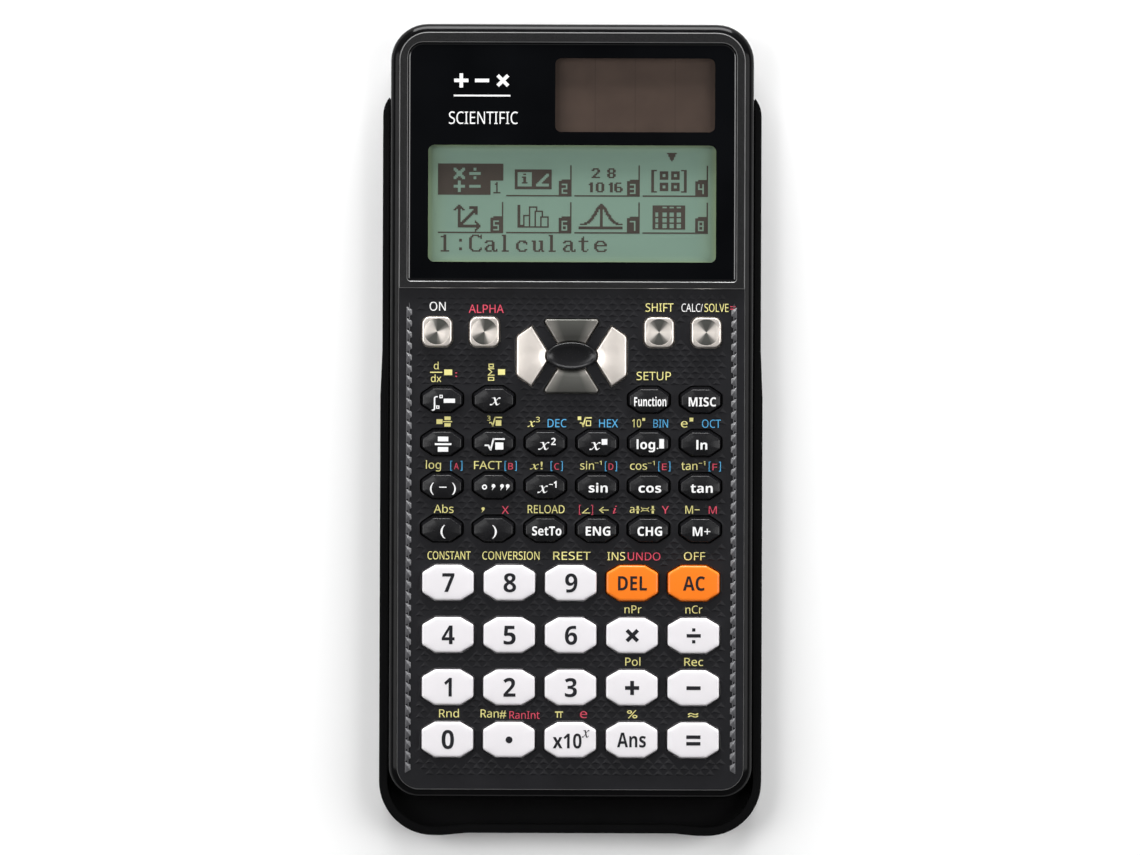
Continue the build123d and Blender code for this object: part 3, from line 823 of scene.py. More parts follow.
def plastic(name):
    """One of the finishes, made the first time that it is asked for."""
    made = bpy.data.materials.get(name)
    if made:
        return made
    tone, roughness, vary, drift, patch, grain, depth, *looks = FINISHES[name]
    inputs = "Specular IOR Level", "Metallic", "Alpha"
    finish, tree, shader = blank(name, dict(zip(inputs, looks)))
    coords = node(tree, "TexCoord").outputs["Object"]
    tone = shade(tone) if isinstance(tone, str) else tint(*tone)
    low = tuple(c * (1 - drift) for c in tone)
    high = tuple(min(c * (1 + drift), 1) for c in tone)
    tree.links.new(mottled(tree, low, high, patch, coords), shader.inputs["Base Color"])
    rough_and_bump(tree, shader, coords, roughness, vary, grain, depth)
    return finish


def turned_metal():
    """Metal turned on a lathe, with painted highlight and painted shade: bright and dark sectors
    about its middle, and fine rings, read from the UV map.
    """
    made = bpy.data.materials.get("turned metal")
    if made:
        return made
    finish, tree, shader = blank("turned metal", {"Metallic": 0.6})
    coords = node(tree, "UVMap", {"uv_map": "lathe"}).outputs["UV"]
    sweep = node(tree, "TexGradient", {"gradient_type": "RADIAL"})
    ramp = node(tree, "ValToRGB")
    # The ramp's tones are painted highlight and painted shade: bright sectors along one axis of the
    # turn, dark sectors across it.
    dark, bright = shade("metal_dark"), shade("metal")
    pale = tuple(min(1.12 * c, 1) for c in bright)
    middle, grey = (tuple(a + (b - a) * t for a, b in zip(dark, bright)) for t in (0.7, 0.22))
    places = (0.0, 0.08, 0.115, 0.14, 0.19)  # of the tones from a sector's middle to its edge
    fading = list(zip(places, (pale, bright, middle, grey, dark)))
    tones = [
        *fading,
        *((0.5 - place, tone) for place, tone in fading[:0:-1]),
        *((0.5 + place, tone) for place, tone in fading),
        *((1.0 - place, tone) for place, tone in fading[::-1]),
    ]
    stops = ramp.color_ramp.elements
    for place, tone in tones[1:-1]:
        stops.new(place).color = (*tone, 1)
    stops[0].color, stops[-1].color = (*tones[0][1], 1), (*tones[-1][1], 1)
    kind = {"wave_type": "RINGS", "rings_direction": "Z"}
    rings = node(tree, "TexWave", kind, Scale=4.0, Distortion=0.3)
    spread = node(tree, "MapRange")
    spread.inputs["To Min"].default_value, spread.inputs["To Max"].default_value = 0.3, 0.42
    bump = node(tree, "Bump", Strength=0.5, Distance=0.004 * MM)
    wire(
        tree,
        (coords, sweep.inputs["Vector"]),
        (sweep.outputs["Fac"], ramp.inputs["Fac"]),
        (ramp.outputs["Color"], shader.inputs["Base Color"]),
        (coords, rings.inputs["Vector"]),
        (rings.outputs["Fac"], spread.inputs["Value"]),
        (spread.outputs["Result"], shader.inputs["Roughness"]),
        (rings.outputs["Fac"], bump.inputs["Height"]),
        (bump.outputs["Normal"], shader.inputs["Normal"]),
    )
    return finish


def screen_glass():
    """The screen, with painted light: paler and yellower towards its edges."""
    finish, tree, shader = blank("screen glass", {"Specular IOR Level": 0.3})
    low, high = corners_mm("lcd_panel")
    border = setting("display", "screen_border")
    coords = node(tree, "TexCoord").outputs["Object"]
    place = node(tree, "Mapping")
    half_x, half_y = (high.x - low.x) / 2 - border, setting("display", "screen_length") / 2
    place.inputs["Location"].default_value = (
        -(low.x + high.x) / 2 / half_x, -(high.y - border - half_y) / half_y, 0
    )
    place.inputs["Scale"].default_value = (1 / half_x / MM, 1 / half_y / MM, 0)
    square = node(tree, "VectorMath", {"operation": "MULTIPLY"})
    fourth = node(tree, "VectorMath", {"operation": "MULTIPLY"})
    parts = node(tree, "SeparateXYZ")
    most = node(tree, "Math", {"operation": "MAXIMUM"})
    ramp = node(tree, "ValToRGB")
    stops = ramp.color_ramp.elements
    # The edge tone is painted light, laid over the screen's colour towards its edges.
    middle, edge = shade("screen"), shade("screen_edge")
    stops[0].color, stops[1].color = (*middle, 1), (*edge, 1)
    stops.new(0.55).color = (*(0.98 * c for c in middle), 1)
    stops.new(0.86).color = (*((3 * a + b) / 4 for a, b in zip(middle, edge)), 1)
    wire(
        tree,
        (coords, place.inputs["Vector"]),
        (place.outputs["Vector"], square.inputs[0]),
        (place.outputs["Vector"], square.inputs[1]),
        (square.outputs["Vector"], fourth.inputs[0]),
        (square.outputs["Vector"], fourth.inputs[1]),
        (fourth.outputs["Vector"], parts.inputs["Vector"]),
        (parts.outputs["X"], most.inputs[0]),
        (parts.outputs["Y"], most.inputs[1]),
        (most.outputs["Value"], ramp.inputs["Fac"]),
        (ramp.outputs["Color"], shader.inputs["Base Color"]),
    )
    rough_and_bump(tree, shader, coords, 0.5, 0.08, 0.3, 0.001)
    return finish


def cell_film():
    """The solar cell: brown film with thin dividing lines between its cells."""
    finish, tree, shader = blank("cell film", {"Specular IOR Level": 0.2})
    low, high = corners_mm("solar_cell")
    pitch = (high.x - low.x) / 2 - setting("display", "cell_border")
    coords = node(tree, "TexCoord").outputs["Object"]
    parts = node(tree, "SeparateXYZ")
    shift = node(tree, "Math", {"operation": "SUBTRACT"})
    shift.inputs[1].default_value = (low.x + high.x) / 2 * MM
    fold = node(tree, "Math", {"operation": "PINGPONG"})
    fold.inputs[1].default_value = pitch / 4 * MM
    mask = node(tree, "Math", {"operation": "LESS_THAN"})
    mask.inputs[1].default_value = 0.09 * MM
    mix = node(tree, "Mix", {"data_type": "RGBA"})
    mix.inputs[7].default_value = (*tint(70, 58, 51), 1)
    film = shade("cell")
    cloud = mottled(tree, tuple(0.93 * c for c in film), tuple(1.07 * c for c in film), 5.0, coords)
    wire(
        tree,
        (coords, parts.inputs["Vector"]),
        (parts.outputs["X"], shift.inputs[0]),
        (shift.outputs["Value"], fold.inputs[0]),
        (fold.outputs["Value"], mask.inputs[0]),
        (mask.outputs["Value"], mix.inputs[0]),
        (cloud, mix.inputs[6]),
        (mix.outputs[2], shader.inputs["Base Color"]),
    )
    rough_and_bump(tree, shader, coords, 0.4, 0.06, 0.2, 0.002)
    return finish


# ---- geometry nodes ----


def new_tree(name, numbers):
    """A geometry tree with a finish and named numbers: (name, kind, subtype) each."""
    tree = bpy.data.node_groups.new(name, "GeometryNodeTree")
    tree.is_modifier = True
    tree.interface.new_socket("Geometry", in_out="INPUT", socket_type="NodeSocketGeometry")
    for label, kind, subtype in numbers:
        socket = tree.interface.new_socket(label, in_out="INPUT", socket_type=f"NodeSocket{kind}")
        socket.subtype = subtype
    tree.interface.new_socket("Finish", in_out="INPUT", socket_type="NodeSocketMaterial")
    tree.interface.new_socket("Geometry", in_out="OUTPUT", socket_type="NodeSocketGeometry")
    entry = tree.nodes.new("NodeGroupInput")
    close = tree.nodes.new("NodeGroupOutput")
    return tree, entry, close


def finish_tree(tree, entry, close, geometry):
    """Ends a tree: instances made real, then the finish."""
    real = tree.nodes.new("GeometryNodeRealizeInstances")
    coat = tree.nodes.new("GeometryNodeSetMaterial")
    tree.links.new(geometry, real.inputs["Geometry"])
    tree.links.new(real.outputs["Geometry"], coat.inputs["Geometry"])
    tree.links.new(entry.outputs["Finish"], coat.inputs["Material"])
    tree.links.new(coat.outputs["Geometry"], close.inputs["Geometry"])


def grown(mesh, tree, values):
    """Runs a geometry tree on a mesh, and returns what it makes as a plain mesh."""
    worker = bpy.data.objects.new("worker", mesh)
    bpy.context.scene.collection.objects.link(worker)
    nodes = worker.modifiers.new("nodes", "NODES")
    nodes.node_group = tree
    for item in tree.interface.items_tree:
        if item.item_type == "SOCKET" and item.in_out == "INPUT" and item.name in values:
            nodes[item.identifier] = values[item.name]
    graph = bpy.context.evaluated_depsgraph_get()
    made = bpy.data.meshes.new_from_object(worker.evaluated_get(graph))
    worker.modifiers.remove(nodes)
    bpy.data.objects.remove(worker)
    if not made.polygons:
        raise ValueError(f"{tree.name} made nothing")
    return made


def row_tree():
    """Repeats the mesh it is given along Y."""
    numbers = [("Count", "Int", "NONE"), ("Pitch", "Float", "DISTANCE")]
    numbers.append(("Start", "Float", "DISTANCE"))
    tree, entry, close = new_tree("stud row", numbers)
    start = tree.nodes.new("ShaderNodeCombineXYZ")
    step = tree.nodes.new("ShaderNodeCombineXYZ")
    line = tree.nodes.new("GeometryNodeMeshLine")
    spread = tree.nodes.new("GeometryNodeInstanceOnPoints")
    wire(
        tree,
        (entry.outputs["Start"], start.inputs["Y"]),
        (entry.outputs["Pitch"], step.inputs["Y"]),
        (entry.outputs["Count"], line.inputs["Count"]),
        (start.outputs["Vector"], line.inputs["Start Location"]),
        (step.outputs["Vector"], line.inputs["Offset"]),
        (line.outputs["Mesh"], spread.inputs["Points"]),
        (entry.outputs["Geometry"], spread.inputs["Instance"]),
    )
    finish_tree(tree, entry, close, spread.outputs["Instances"])
    return tree


def dot_tree():
    """Puts a small square block on every point."""
    numbers = ("Side", "Float", "DISTANCE"), ("Thickness", "Float", "DISTANCE")
    tree, entry, close = new_tree("screen dots", numbers)
    size = tree.nodes.new("ShaderNodeCombineXYZ")
    block = tree.nodes.new("GeometryNodeMeshCube")
    spread = tree.nodes.new("GeometryNodeInstanceOnPoints")
    wire(
        tree,
        (entry.outputs["Side"], size.inputs["X"]),
        (entry.outputs["Side"], size.inputs["Y"]),
        (entry.outputs["Thickness"], size.inputs["Z"]),
        (size.outputs["Vector"], block.inputs["Size"]),
        (block.outputs["Mesh"], spread.inputs["Instance"]),
        (entry.outputs["Geometry"], spread.inputs["Points"]),
    )
    finish_tree(tree, entry, close, spread.outputs["Instances"])
    return tree


# ---- what the screen shows, in dots from its upper left corner ----

# Pictures are rows of dots parted by strokes.

GLYPHS = {
    "1": "....XX/..XXXX" + "/....XX" * 9 + "/..XXXXXX",
    ":": "///....XX/....XX/////....XX/....XX",
    "C": "..XXXXX.X/.XX...XXX/XX......X" + "/XX" * 6 + "/XX......X/.XX....XX/..XXXXXX",
    "a": "////.XXXXX/XX...XX/.....XX/..XXXXX/.XX..XX/XX...XX/XX...XX.X/.XXXX.XXX",
    "l": ".XXX" + "/..XX" * 10 + "/.XXXXX",
    "c": "////..XXXXX/.XX..XXX/XX.....X/XX/XX/XX/.XX...XX/..XXXXX",
    "u": "////XXX..XXX" + "/.XX...XX" * 5 + "/.XX..XXX/..XXXX.XX",
    "t": "/...X/..XX/..XX/XXXXXXX" + "/..XX" * 5 + "/..XX..X/...XXX",
    "e": "////..XXXXX/.XX...XX/XX.....XX/XXXXXXXXX/XX/XX/.XX....XX/..XXXXXX",
}
BIG_DIGITS = {
    "0": ".XXXX" + "/XX..XX" * 5 + "/.XXXX",
    "1": "..XX/.XXX" + "/..XX" * 5,
    "2": ".XXXX/XX..XX/....XX/...XX/..XX/.XX/XXXXXX",
    "6": ".XXXX/XX/XX/XXXXX/XX..XX/XX..XX/.XXXX",
    "8": ".XXXX/XX..XX/XX..XX/.XXXX/XX..XX/XX..XX/.XXXX",
}
# Digits of seven strokes, four dots wide and seven tall.
STROKES = {
    "a": (0, 0, 4, 1), "b": (3, 0, 1, 4), "c": (3, 3, 1, 4), "d": (0, 6, 4, 1),
    "e": (0, 3, 1, 4), "f": (0, 0, 1, 4), "g": (0, 3, 4, 1),
}
SMALL_DIGITS = ("abged", "abgcd", "fgbc", "afgcd", "afgedc", "abc", "abcdefg")  # 2 to 8
CELL, ROW = 48, 26  # size of a box of the menu


class DotScreen:
    """A set of dark dots, drawn like ink on squared paper from a corner that can be moved."""

    def __init__(self):
        self.dark, self.corner = set(), (0, 0)

    def fill(self, *areas, ink=True):
        """Darkens areas of (x, y, width, height), or clears them."""
        for x, y, width, height in areas:
            x, y = x + self.corner[0], y + self.corner[1]
            area = {(c, r) for c in range(x, x + width) for r in range(y, y + height)}
            self.dark = self.dark | area if ink else self.dark - area

    def clear(self, *areas):
        self.fill(*areas, ink=False)

    def art(self, x, y, picture):
        for r, row in enumerate(picture.split("/")):
            self.fill(*((x + c, y + r, 1, 1) for c, dot in enumerate(row) if dot == "X"))

    def line(self, x, y, x1, y1, ink=True):
        steps = max(abs(x1 - x), abs(y1 - y))
        for k in range(steps + 1):
            across, down = (x1 - x) * k / steps, (y1 - y) * k / steps
            self.fill((round(x + across), round(y + down), 2, 2), ink=ink)


def menu_dots():
    """The main menu: eight boxes with an icon and a number, and the chosen line under them."""
    s = DotScreen()
    s.fill((2, 0, 46, 22))
    s.clear((39, 12, 9, 10))
    s.fill((43, 13, 1, 8), (42, 14, 1, 1), (41, 20, 5, 1))
    for k, strokes in enumerate(SMALL_DIGITS, 1):
        s.corner = CELL * (k % 4), ROW * (k // 4)
        s.fill((2, 22, 46, 1), (47, 1, 1, 22), (39, 12, 8, 10), (41, 11, 6, 1))
        for dx, dy, width, height in (STROKES[stroke] for stroke in strokes):
            s.clear((41 + dx, 14 + dy, width, height))
    # The four signs of arithmetic
    s.corner = 0, 0
    s.line(13, 3, 19, 9, False)
    s.line(19, 3, 13, 9, False)
    s.clear((24, 6, 8, 2), (27, 3, 2, 2), (27, 9, 2, 2))
    s.clear((13, 15, 8, 2), (16, 12, 2, 8), (24, 15, 8, 2))
    # An imaginary unit and an angle
    s.corner = CELL + 8, 0
    s.fill((0, 4, 26, 14))
    s.clear((2, 6, 10, 10))
    s.art(4, 7, "..XX//.XXX/..XX/..XX/..XX/.XXXX")
    s.line(22, 7, 15, 14, False)
    s.clear((15, 14, 9, 2))
    # Number bases
    s.corner = 2 * CELL + 12, 0
    places = (2, 3, "2"), (13, 3, "8"), (-1, 13, "1"), (5, 13, "0"), (13, 13, "1"), (18, 13, "6")
    for x, y, text in places:
        s.art(x, y, BIG_DIGITS[text])
    # A matrix
    s.corner = 3 * CELL + 8, 0
    for x, hook in ((0, 0), (23, 21)):
        s.fill((x, 4, 2, 16), (hook, 4, 4, 1), (hook, 19, 4, 1))
    for x, y in ((6, 5), (6, 13), (14, 5), (14, 13)):
        s.fill((x, y, 6, 6))
        s.clear((x + 2, y + 2, 2, 2))
    # A vector between axes with arrows
    s.corner = 16, ROW
    s.fill((0, 3, 2, 16), (0, 17, 16, 2), (8, 4, 6, 2), (12, 4, 2, 6))
    s.line(1, 16, 12, 5)
    for k in range(4):
        s.fill((-k, 3 + k, 2, 1), (k, 3 + k, 2, 1), (15 - k, 17 - k, 1, 2), (15 - k, 17 + k, 1, 2))
    # A bar chart
    s.corner = CELL + 10, ROW
    s.fill((0, 3, 2, 16), (0, 17, 22, 2))
    for x, tall in ((4, 8), (8, 14), (12, 11), (16, 7)):
        s.fill((x, 18 - tall, 6, tall + 1))
        s.clear((x + 1, 19 - tall, 4, tall - 1))
    # A bell curve
    s.corner = 2 * CELL + 6, ROW
    s.fill((-1, 18, 31, 2), (14, 2, 2, 16))
    bell = [round(13 * math.exp(-(((x - 14.5) / 6) ** 2))) for x in range(30)]
    for x, (a, b) in enumerate(zip(bell, bell[1:])):
        s.fill((x, 16 - max(a, b), 2, abs(a - b) + 1))
    # A spreadsheet
    s.corner = 3 * CELL + 9, ROW
    s.fill((0, 3, 23, 17))
    for x, width in ((2, 2), (7, 3), (12, 3), (17, 3)):
        for y, height in ((1, 1), (5, 3), (9, 3), (13, 3)):
            if x > 2 or y > 1:
                s.clear((x, 3 + y, width, height))
    s.corner = 2, 50
    for k, text in enumerate("1:Calculate"):
        s.art(11 * k, 0, GLYPHS[text])
    return sorted(s.dark)


# ---- operators ----


def case_levels():
    """Heights and ends of the front of the housing, from the packed front case."""
    low, high = corners_mm("front_case")
    face = high.z - setting("case", "frame_rise")
    return {
        "parting": low.z,
        "top": high.z,
        "face": face,
        "ceiling": face - setting("case", "face_thickness"),
        "head": high.y,
        "foot": low.y,
        "width": high.x - low.x,
        "step": high.y - setting("case", "frame_length"),
    }


def case_plan(inset):
    c = case_levels()
    return rounded(
        c["width"] - 2 * inset,
        c["foot"] + inset,
        c["head"] - inset,
        setting("case", "top_radius") - inset,
        setting("case", "bottom_radius") - inset,
    )


def frame_plan(inset):
    c = case_levels()
    border = setting("case", "border")
    return rounded(
        c["width"] - 2 * (border + inset),
        c["step"] + inset,
        c["head"] - border - inset,
        setting("case", "top_radius") - border - inset,
        0.05,
    )


def window_plan(grow):
    low, high = corners_mm("display_window")
    return rounded(
        high.x - low.x + 2 * grow,
        low.y - grow,
        high.y + grow,
        setting("display", "window_top_radius") + grow,
        setting("display", "window_bottom_radius") + grow,
    )


def view_plans(grow):
    """Clear areas of the window: over the screen and over the solar cell."""
    plans = []
    radius = setting("display", "view_radius")
    for name, view in (("lcd_panel", "screen"), ("solar_cell", "cell")):
        low, high = corners_mm(name)
        less = setting("display", f"{view}_border") - grow
        foot = high.y - less - setting("display", f"{view}_length") - 2 * grow
        width, middle = high.x - low.x - 2 * less, (low.x + high.x) / 2
        plans.append(rounded(width, foot, high.y - less, radius, radius, middle))
    return plans


class CALCULATOR_OT_border(Operator):
    """Glossy rounded border and side walls of the front case, with a painted highlight on the walls
    of the groove beside the face
    """

    bl_idname = "calculator.border"
    bl_label = "Border"

    def execute(self, context):
        c = case_levels()
        border, drop, wall = (setting("case", name) for name in ("border", "border_drop", "wall"))
        foot, lip, groove = c["face"] - drop, 0.16, 0.2  # lip: of the step down to the face
        profile = [(0, c["parting"]), (0, foot - 0.6)]
        steep = math.radians(34)  # slope of the border where it meets the face
        for k in range(13):
            t = (math.pi / 2 - steep) * k / 12
            across = (1 - math.cos(t)) / (1 - math.sin(steep))
            up = math.sin(t) / math.cos(steep)
            profile.append(((border - 0.22) * across, foot + (drop - 0.05) * up))
        inner = border - 0.001
        profile += [(border - lip, c["face"] - groove), (border - 0.1, c["face"] - groove)]
        profile += [(inner, c["face"]), (inner, c["ceiling"]), (wall, c["ceiling"])]
        profile.append((wall, c["parting"]))
        rings = [lifted(case_plan(inset), z) for inset, z in profile]
        skin = Skin()
        n, last = len(rings[0]), len(rings)
        # These groove walls carry a painted highlight: the light grey of the polished edge finish.
        bright = last - 6, last - 5  # the walls of the groove beside the face
        finish = [int(k in bright) for k in range(last) for _ in range(n)]
        skin.loft(rings, finish, tube=True)
        mesh = skin.mesh("border", [plastic("gloss plastic"), plastic("polished edge")], 40)
        settle(mesh, "border", "housing", ("front_case",))
        return {"FINISHED"}


FLAT_RING = 0.14  # width of the plain ring round each hole in the face, millimetres
PEAK_LEAN = 0.14  # how far the peaks of the face pattern lean, in pitches


class CALCULATOR_OT_keypad_face(Operator):
    """Keypad face with its moulded weave and the holes for the keys"""

    bl_idname = "calculator.keypad_face"
    bl_label = "Keypad Face"

    def execute(self, context):
        c = case_levels()
        gap = setting("keys", "gap")
        holes = [moved(cap_plan(name), gap) for name in all_keys()]
        guards = []
        for hole in holes:
            guard = moved(hole, FLAT_RING)
            xs, ys = [p[0] for p in guard], [p[1] for p in guard]
            guards.append((min(xs), max(xs), min(ys), max(ys), guard))
        inset = setting("case", "border")
        radius = setting("case", "bottom_radius") - inset
        outer = rounded(c["width"] - 2 * inset, c["foot"] + inset, c["step"], 0.05, radius)
        names = "pitch", "row", "depth", "margin"
        pitch, row, depth, margin = (setting("case", f"weave_{name}") for name in names)
        half = c["width"] / 2 - margin
        low, high = c["foot"] + margin - 1.2, c["step"] - 0.5
        edge = rounded(2 * half, low, high, 0.05, 3.0)

        def free(point):
            if not inside(point, edge):
                return False
            x, y = point
            return not any(
                a < x < b and low < y < high and inside(point, guard)
                for a, b, low, high, guard in guards
            )

        columns = int(c["width"] / pitch) + 2
        rows = int((c["step"] - c["foot"]) / row) + 1
        grid = {}
        for j in range(rows):
            for i in range(columns):
                point = ((i - columns / 2 + (j % 2) / 2) * pitch, c["foot"] + j * row)
                if free(point):
                    grid[i, j] = point
        lines, peaks = [], []
        for (i, j), point in grid.items():
            right, up = (i + 1, j), (i + j % 2, j + 1)
            for other in (right, up, (up[0] - 1, j + 1)):
                if other in grid:
                    lines.append((point, grid[other]))
            if right in grid and up in grid:
                x = (point[0] + grid[right][0] + grid[up][0]) / 3 - PEAK_LEAN * pitch
                peaks.append((x, point[1] + row / 3))
        peaks = [point for point in peaks if free(point)]
        points, sources, found = field(outer, holes, lines, peaks)
        count = len(outer) + sum(len(hole) for hole in holes)
        highest = count + 2 * len(lines)
        heights = []
        for source in sources:
            if source is None or source < count:
                heights.append(c["face"] - depth / 2)
            else:
                heights.append(c["face"] if source >= highest else c["face"] - depth)
        kept = [triangle for triangle, zone in found if zone < 0]
        skin = Skin()
        skin.add([(x, y, z) for (x, y), z in zip(points, heights)], kept)
        skin.add([(x, y, c["ceiling"]) for x, y in points], [triangle[::-1] for triangle in kept])
        for loop in rims(kept):
            top = [(*points[i], heights[i]) for i in loop]
            bottom = [(*points[i], c["ceiling"]) for i in loop]
            skin.loft([bottom, top], low=False, high=False)
        mesh = skin.mesh("keypad_face", [plastic("face plastic")], 8)
        settle(mesh, "keypad_face", "housing", ("front_case",))
        return {"FINISHED"}


class CALCULATOR_OT_grip_studs(Operator):
    """Rows of small pointed studs down both sides of the face, coloured lighter than the face as a
    painted highlight on their facets
    """

    bl_idname = "calculator.grip_studs"
    bl_label = "Grip Studs"

    def execute(self, context):
        c = case_levels()
        names = "pitch", "width", "rise", "margin"
        pitch, width, rise, margin = (setting("case", f"stud_{name}") for name in names)
        tree = row_tree()
        low, high, sunk = c["foot"] + 6.4, c["step"] - 0.5, 0.3
        for side, name in ((-1, "studs_left"), (1, "studs_right")):
            x = side * (c["width"] / 2 - setting("case", "border") - margin)
            skin = Skin()
            # A large stud and a small one: middle, half width and reach, and height
            for y, half, reach, top in ((0, 0.5, 1.0, 1.0), (pitch / 2, 0.36, 0.62, 0.6)):
                base, tip = c["face"] - sunk, c["face"] + (rise - sunk) * top
                inner = x - side * (reach * width if top < 1 else width)
                near = x if top == 1 else x - side * 0.45 * width
                wide, narrow = half * pitch, half * pitch * 0.45
                plan = [(near, -wide), (near, wide), (inner, narrow), (inner, -narrow)]
                plan = [(px, y + py) for px, py in plan[::-side]]
                peak = (near - side * 0.35 * width * reach, y + 0.15 * pitch * top, tip)
                points = lifted(plan, base) + lifted(plan, base + sunk) + [peak]
                sides = [(k, (k + 1) % 4) for k in range(4)]
                faces = [[3, 2, 1, 0]] + [[a, b, 4 + b, 4 + a] for a, b in sides]
                faces += [[4 + a, 4 + b, 8] for a, b in sides]
                skin.add(points, [face[::side] for face in faces])
            values = {
                "Count": int((high - low) / pitch),
                "Pitch": pitch * MM,
                "Start": low * MM,
                "Finish": plastic("stud plastic"),
            }
            mesh = grown(skin.mesh("stud", [plastic("stud plastic")], 5), tree, values)
            tidy_normals(mesh)
            settle(mesh, name, "housing", ("front_case",))
        return {"FINISHED"}


def tidy_normals(mesh):
    """Turns every closed shell's faces outwards."""
    work = bmesh.new()
    work.from_mesh(mesh)
    bmesh.ops.recalc_face_normals(work, faces=work.faces)
    work.to_mesh(mesh)
    work.free()


class CALCULATOR_OT_display_frame(Operator):
    """Grained frame round the display window, with the pocket that the window sits in, and a
    painted highlight on its outer and inner lips
    """

    bl_idname = "calculator.display_frame"
    bl_label = "Display Frame"

    def execute(self, context):
        c = case_levels()
        gap = setting("display", "window_gap")
        floor = corners_mm("display_window")[0].z
        outer, pocket, views = frame_plan(0.01), window_plan(gap), view_plans(gap)
        skin = Skin()
        lip = 0.12
        rings = [
            lifted(outer, c["ceiling"]),
            lifted(outer, c["top"] - lip),
            lifted(frame_plan(lip), c["top"]),
            lifted(window_plan(gap + lip), c["top"]),
            lifted(pocket, c["top"] - lip),
            lifted(pocket, floor),
        ]
        n = len(outer)
        # The outer and inner lips (rings 1 and 3) carry a painted highlight: the light grey of the
        # polished edge finish.
        finish = [1 if k in (1, 3) else 0 for k in range(5) for _ in range(n)]
        skin.loft(rings, finish, low=False, high=False)
        for plan, z, turn in ((outer, c["ceiling"], -1), (pocket, floor, 1)):
            points, _, found = field(plan, views)
            skin.add([(x, y, z) for x, y in points], [t[::turn] for t, zone in found if zone < 0])
        for view in views:
            skin.loft([lifted(view, floor), lifted(view, c["ceiling"])], low=False, high=False)
        mesh = skin.mesh("display_frame", [plastic("frame plastic"), plastic("polished edge")], 30)
        settle(mesh, "display_frame", "housing", ("front_case",))
        return {"FINISHED"}


class CALCULATOR_OT_pad_boss(Operator):
    """Oval boss in the middle of the direction pad"""

    bl_idname = "calculator.pad_boss"
    bl_label = "Pad Boss"

    def execute(self, context):
        c = case_levels()
        x, y = pad_middle()
        names = "half_width", "half_length", "rise"
        wide, long, rise = (setting("keys", f"boss_{name}") for name in names)
        profile = [(0, -0.25), (0.06, -0.1), (0.2, -0.01), (0.34, 0), (0.46, -0.03)]
        profile += [(0.6, -0.16), (1.0, -0.3), (1.8, -0.38), (2.6, -0.4)]
        rings = [lifted(oval(wide, long, x, y), c["ceiling"] + 0.2)]
        for inset, drop in profile:
            reach = max(long - inset, 0.12 * wide * (1 - inset / 3))
            rings.append(lifted(oval(wide - inset, reach, x, y), c["face"] + rise + drop))
        skin = Skin()
        skin.loft(rings)
        mesh = skin.mesh("pad_boss", [plastic("black key plastic")], 50)
        settle(mesh, "pad_boss", "housing", ("front_case",))
        return {"FINISHED"}


def pad_middle():
    low, high = corners_mm("key_left")[0], corners_mm("key_right")[1]
    return (low.x + high.x) / 2, (low.y + high.y) / 2


class CALCULATOR_OT_display_window(Operator):
    """Window plate: black print with clear areas, a polished edge and a printed emblem"""

    bl_idname = "calculator.display_window"
    bl_label = "Display Window"

    def execute(self, context):
        low, high = corners_mm("display_window")
        edge = setting("display", "window_edge")
        base, top = window_plan(0), window_plan(-edge)
        views = view_plans(0)
        skin = Skin()
        n = len(base)
        rings = [lifted(base, low.z), lifted(base, high.z - edge * 0.42), lifted(top, high.z)]
        skin.loft(rings, [0] * n + [2] * n, low=False, high=False)
        for plan, z, turn in ((base, low.z, -1), (top, high.z, 1)):
            points, _, found = field(plan, views)
            finish = [0 if zone < 0 else 1 for _, zone in found]
            skin.add([(x, y, z) for x, y in points], [t[::turn] for t, _ in found], finish)
        finishes = [plastic(name) for name in ("window print", "clear window", "window edge")]
        mesh = skin.mesh("window", finishes, 12)
        settle(mesh, "window", "housing", ("display_window",))
        emblem = Skin()
        for mark in EMBLEM:
            draw(emblem, mark, low.x, high.y, high.z - 0.05, high.z + setting("keys", "ink"))
        mesh = emblem.mesh("emblem", [plastic("white print")], 20)
        settle(mesh, "emblem", "housing")
        return {"FINISHED"}


class CALCULATOR_OT_screen(Operator):
    """Screen glass with the menu's dots, and the solar cell"""

    bl_idname = "calculator.screen"
    bl_label = "Screen"

    def execute(self, context):
        refinish("lcd_panel", screen_glass())
        refinish("solar_cell", cell_film())
        low, high = corners_mm("lcd_panel")
        pitch, border, view = (
            setting("display", name) for name in ("dot_pitch", "screen_border", "screen_length")
        )
        left = (low.x + high.x) / 2 - 96.4 * pitch
        top = high.y - border - view / 2 + 8.5
        spots = [(c + 0.5, r + 0.5) for c, r in menu_dots()]
        for row in range(6):  # a small triangle over the menu
            reach = (6 - row) // 2
            spots += [(166.5 + k, row - 7.5) for k in range(-reach, reach + 1)]
        points = [(left + c * pitch, top - r * pitch, high.z + 0.01) for c, r in spots]
        mesh = bpy.data.meshes.new("dots")
        mesh.from_pydata([Vector(p) * MM for p in points], [], [])
        values = {
            "Side": setting("display", "dot_size") * MM,
            "Thickness": 0.04 * MM,
            "Finish": plastic("dot film"),
        }
        made = grown(mesh, dot_tree(), values)
        settle(made, "screen_dots", "housing")
        return {"FINISHED"}


def refinish(name, finish):
    """Gives a packed node a procedural finish."""
    piece = frame["nodes"][name]
    piece.data.materials.clear()
    piece.data.materials.append(finish)


def cap_rings(plan, levels):
    """Rings of a cap from (inset, z, shift) triples."""
    return [lifted(moved(plan, -inset), z, shift) for inset, z, shift in levels]


def key_foot(name):
    """The levels that every cap starts with: its flange under the face."""
    low, high = corners_mm(f"key_{name}")
    reach = setting("keys", "gap") + setting("keys", "flange")
    brim = low.z + setting("keys", "flange_thickness")
    return [(-reach, low.z, 0), (-reach, brim, 0), (0, brim, 0)], high.z


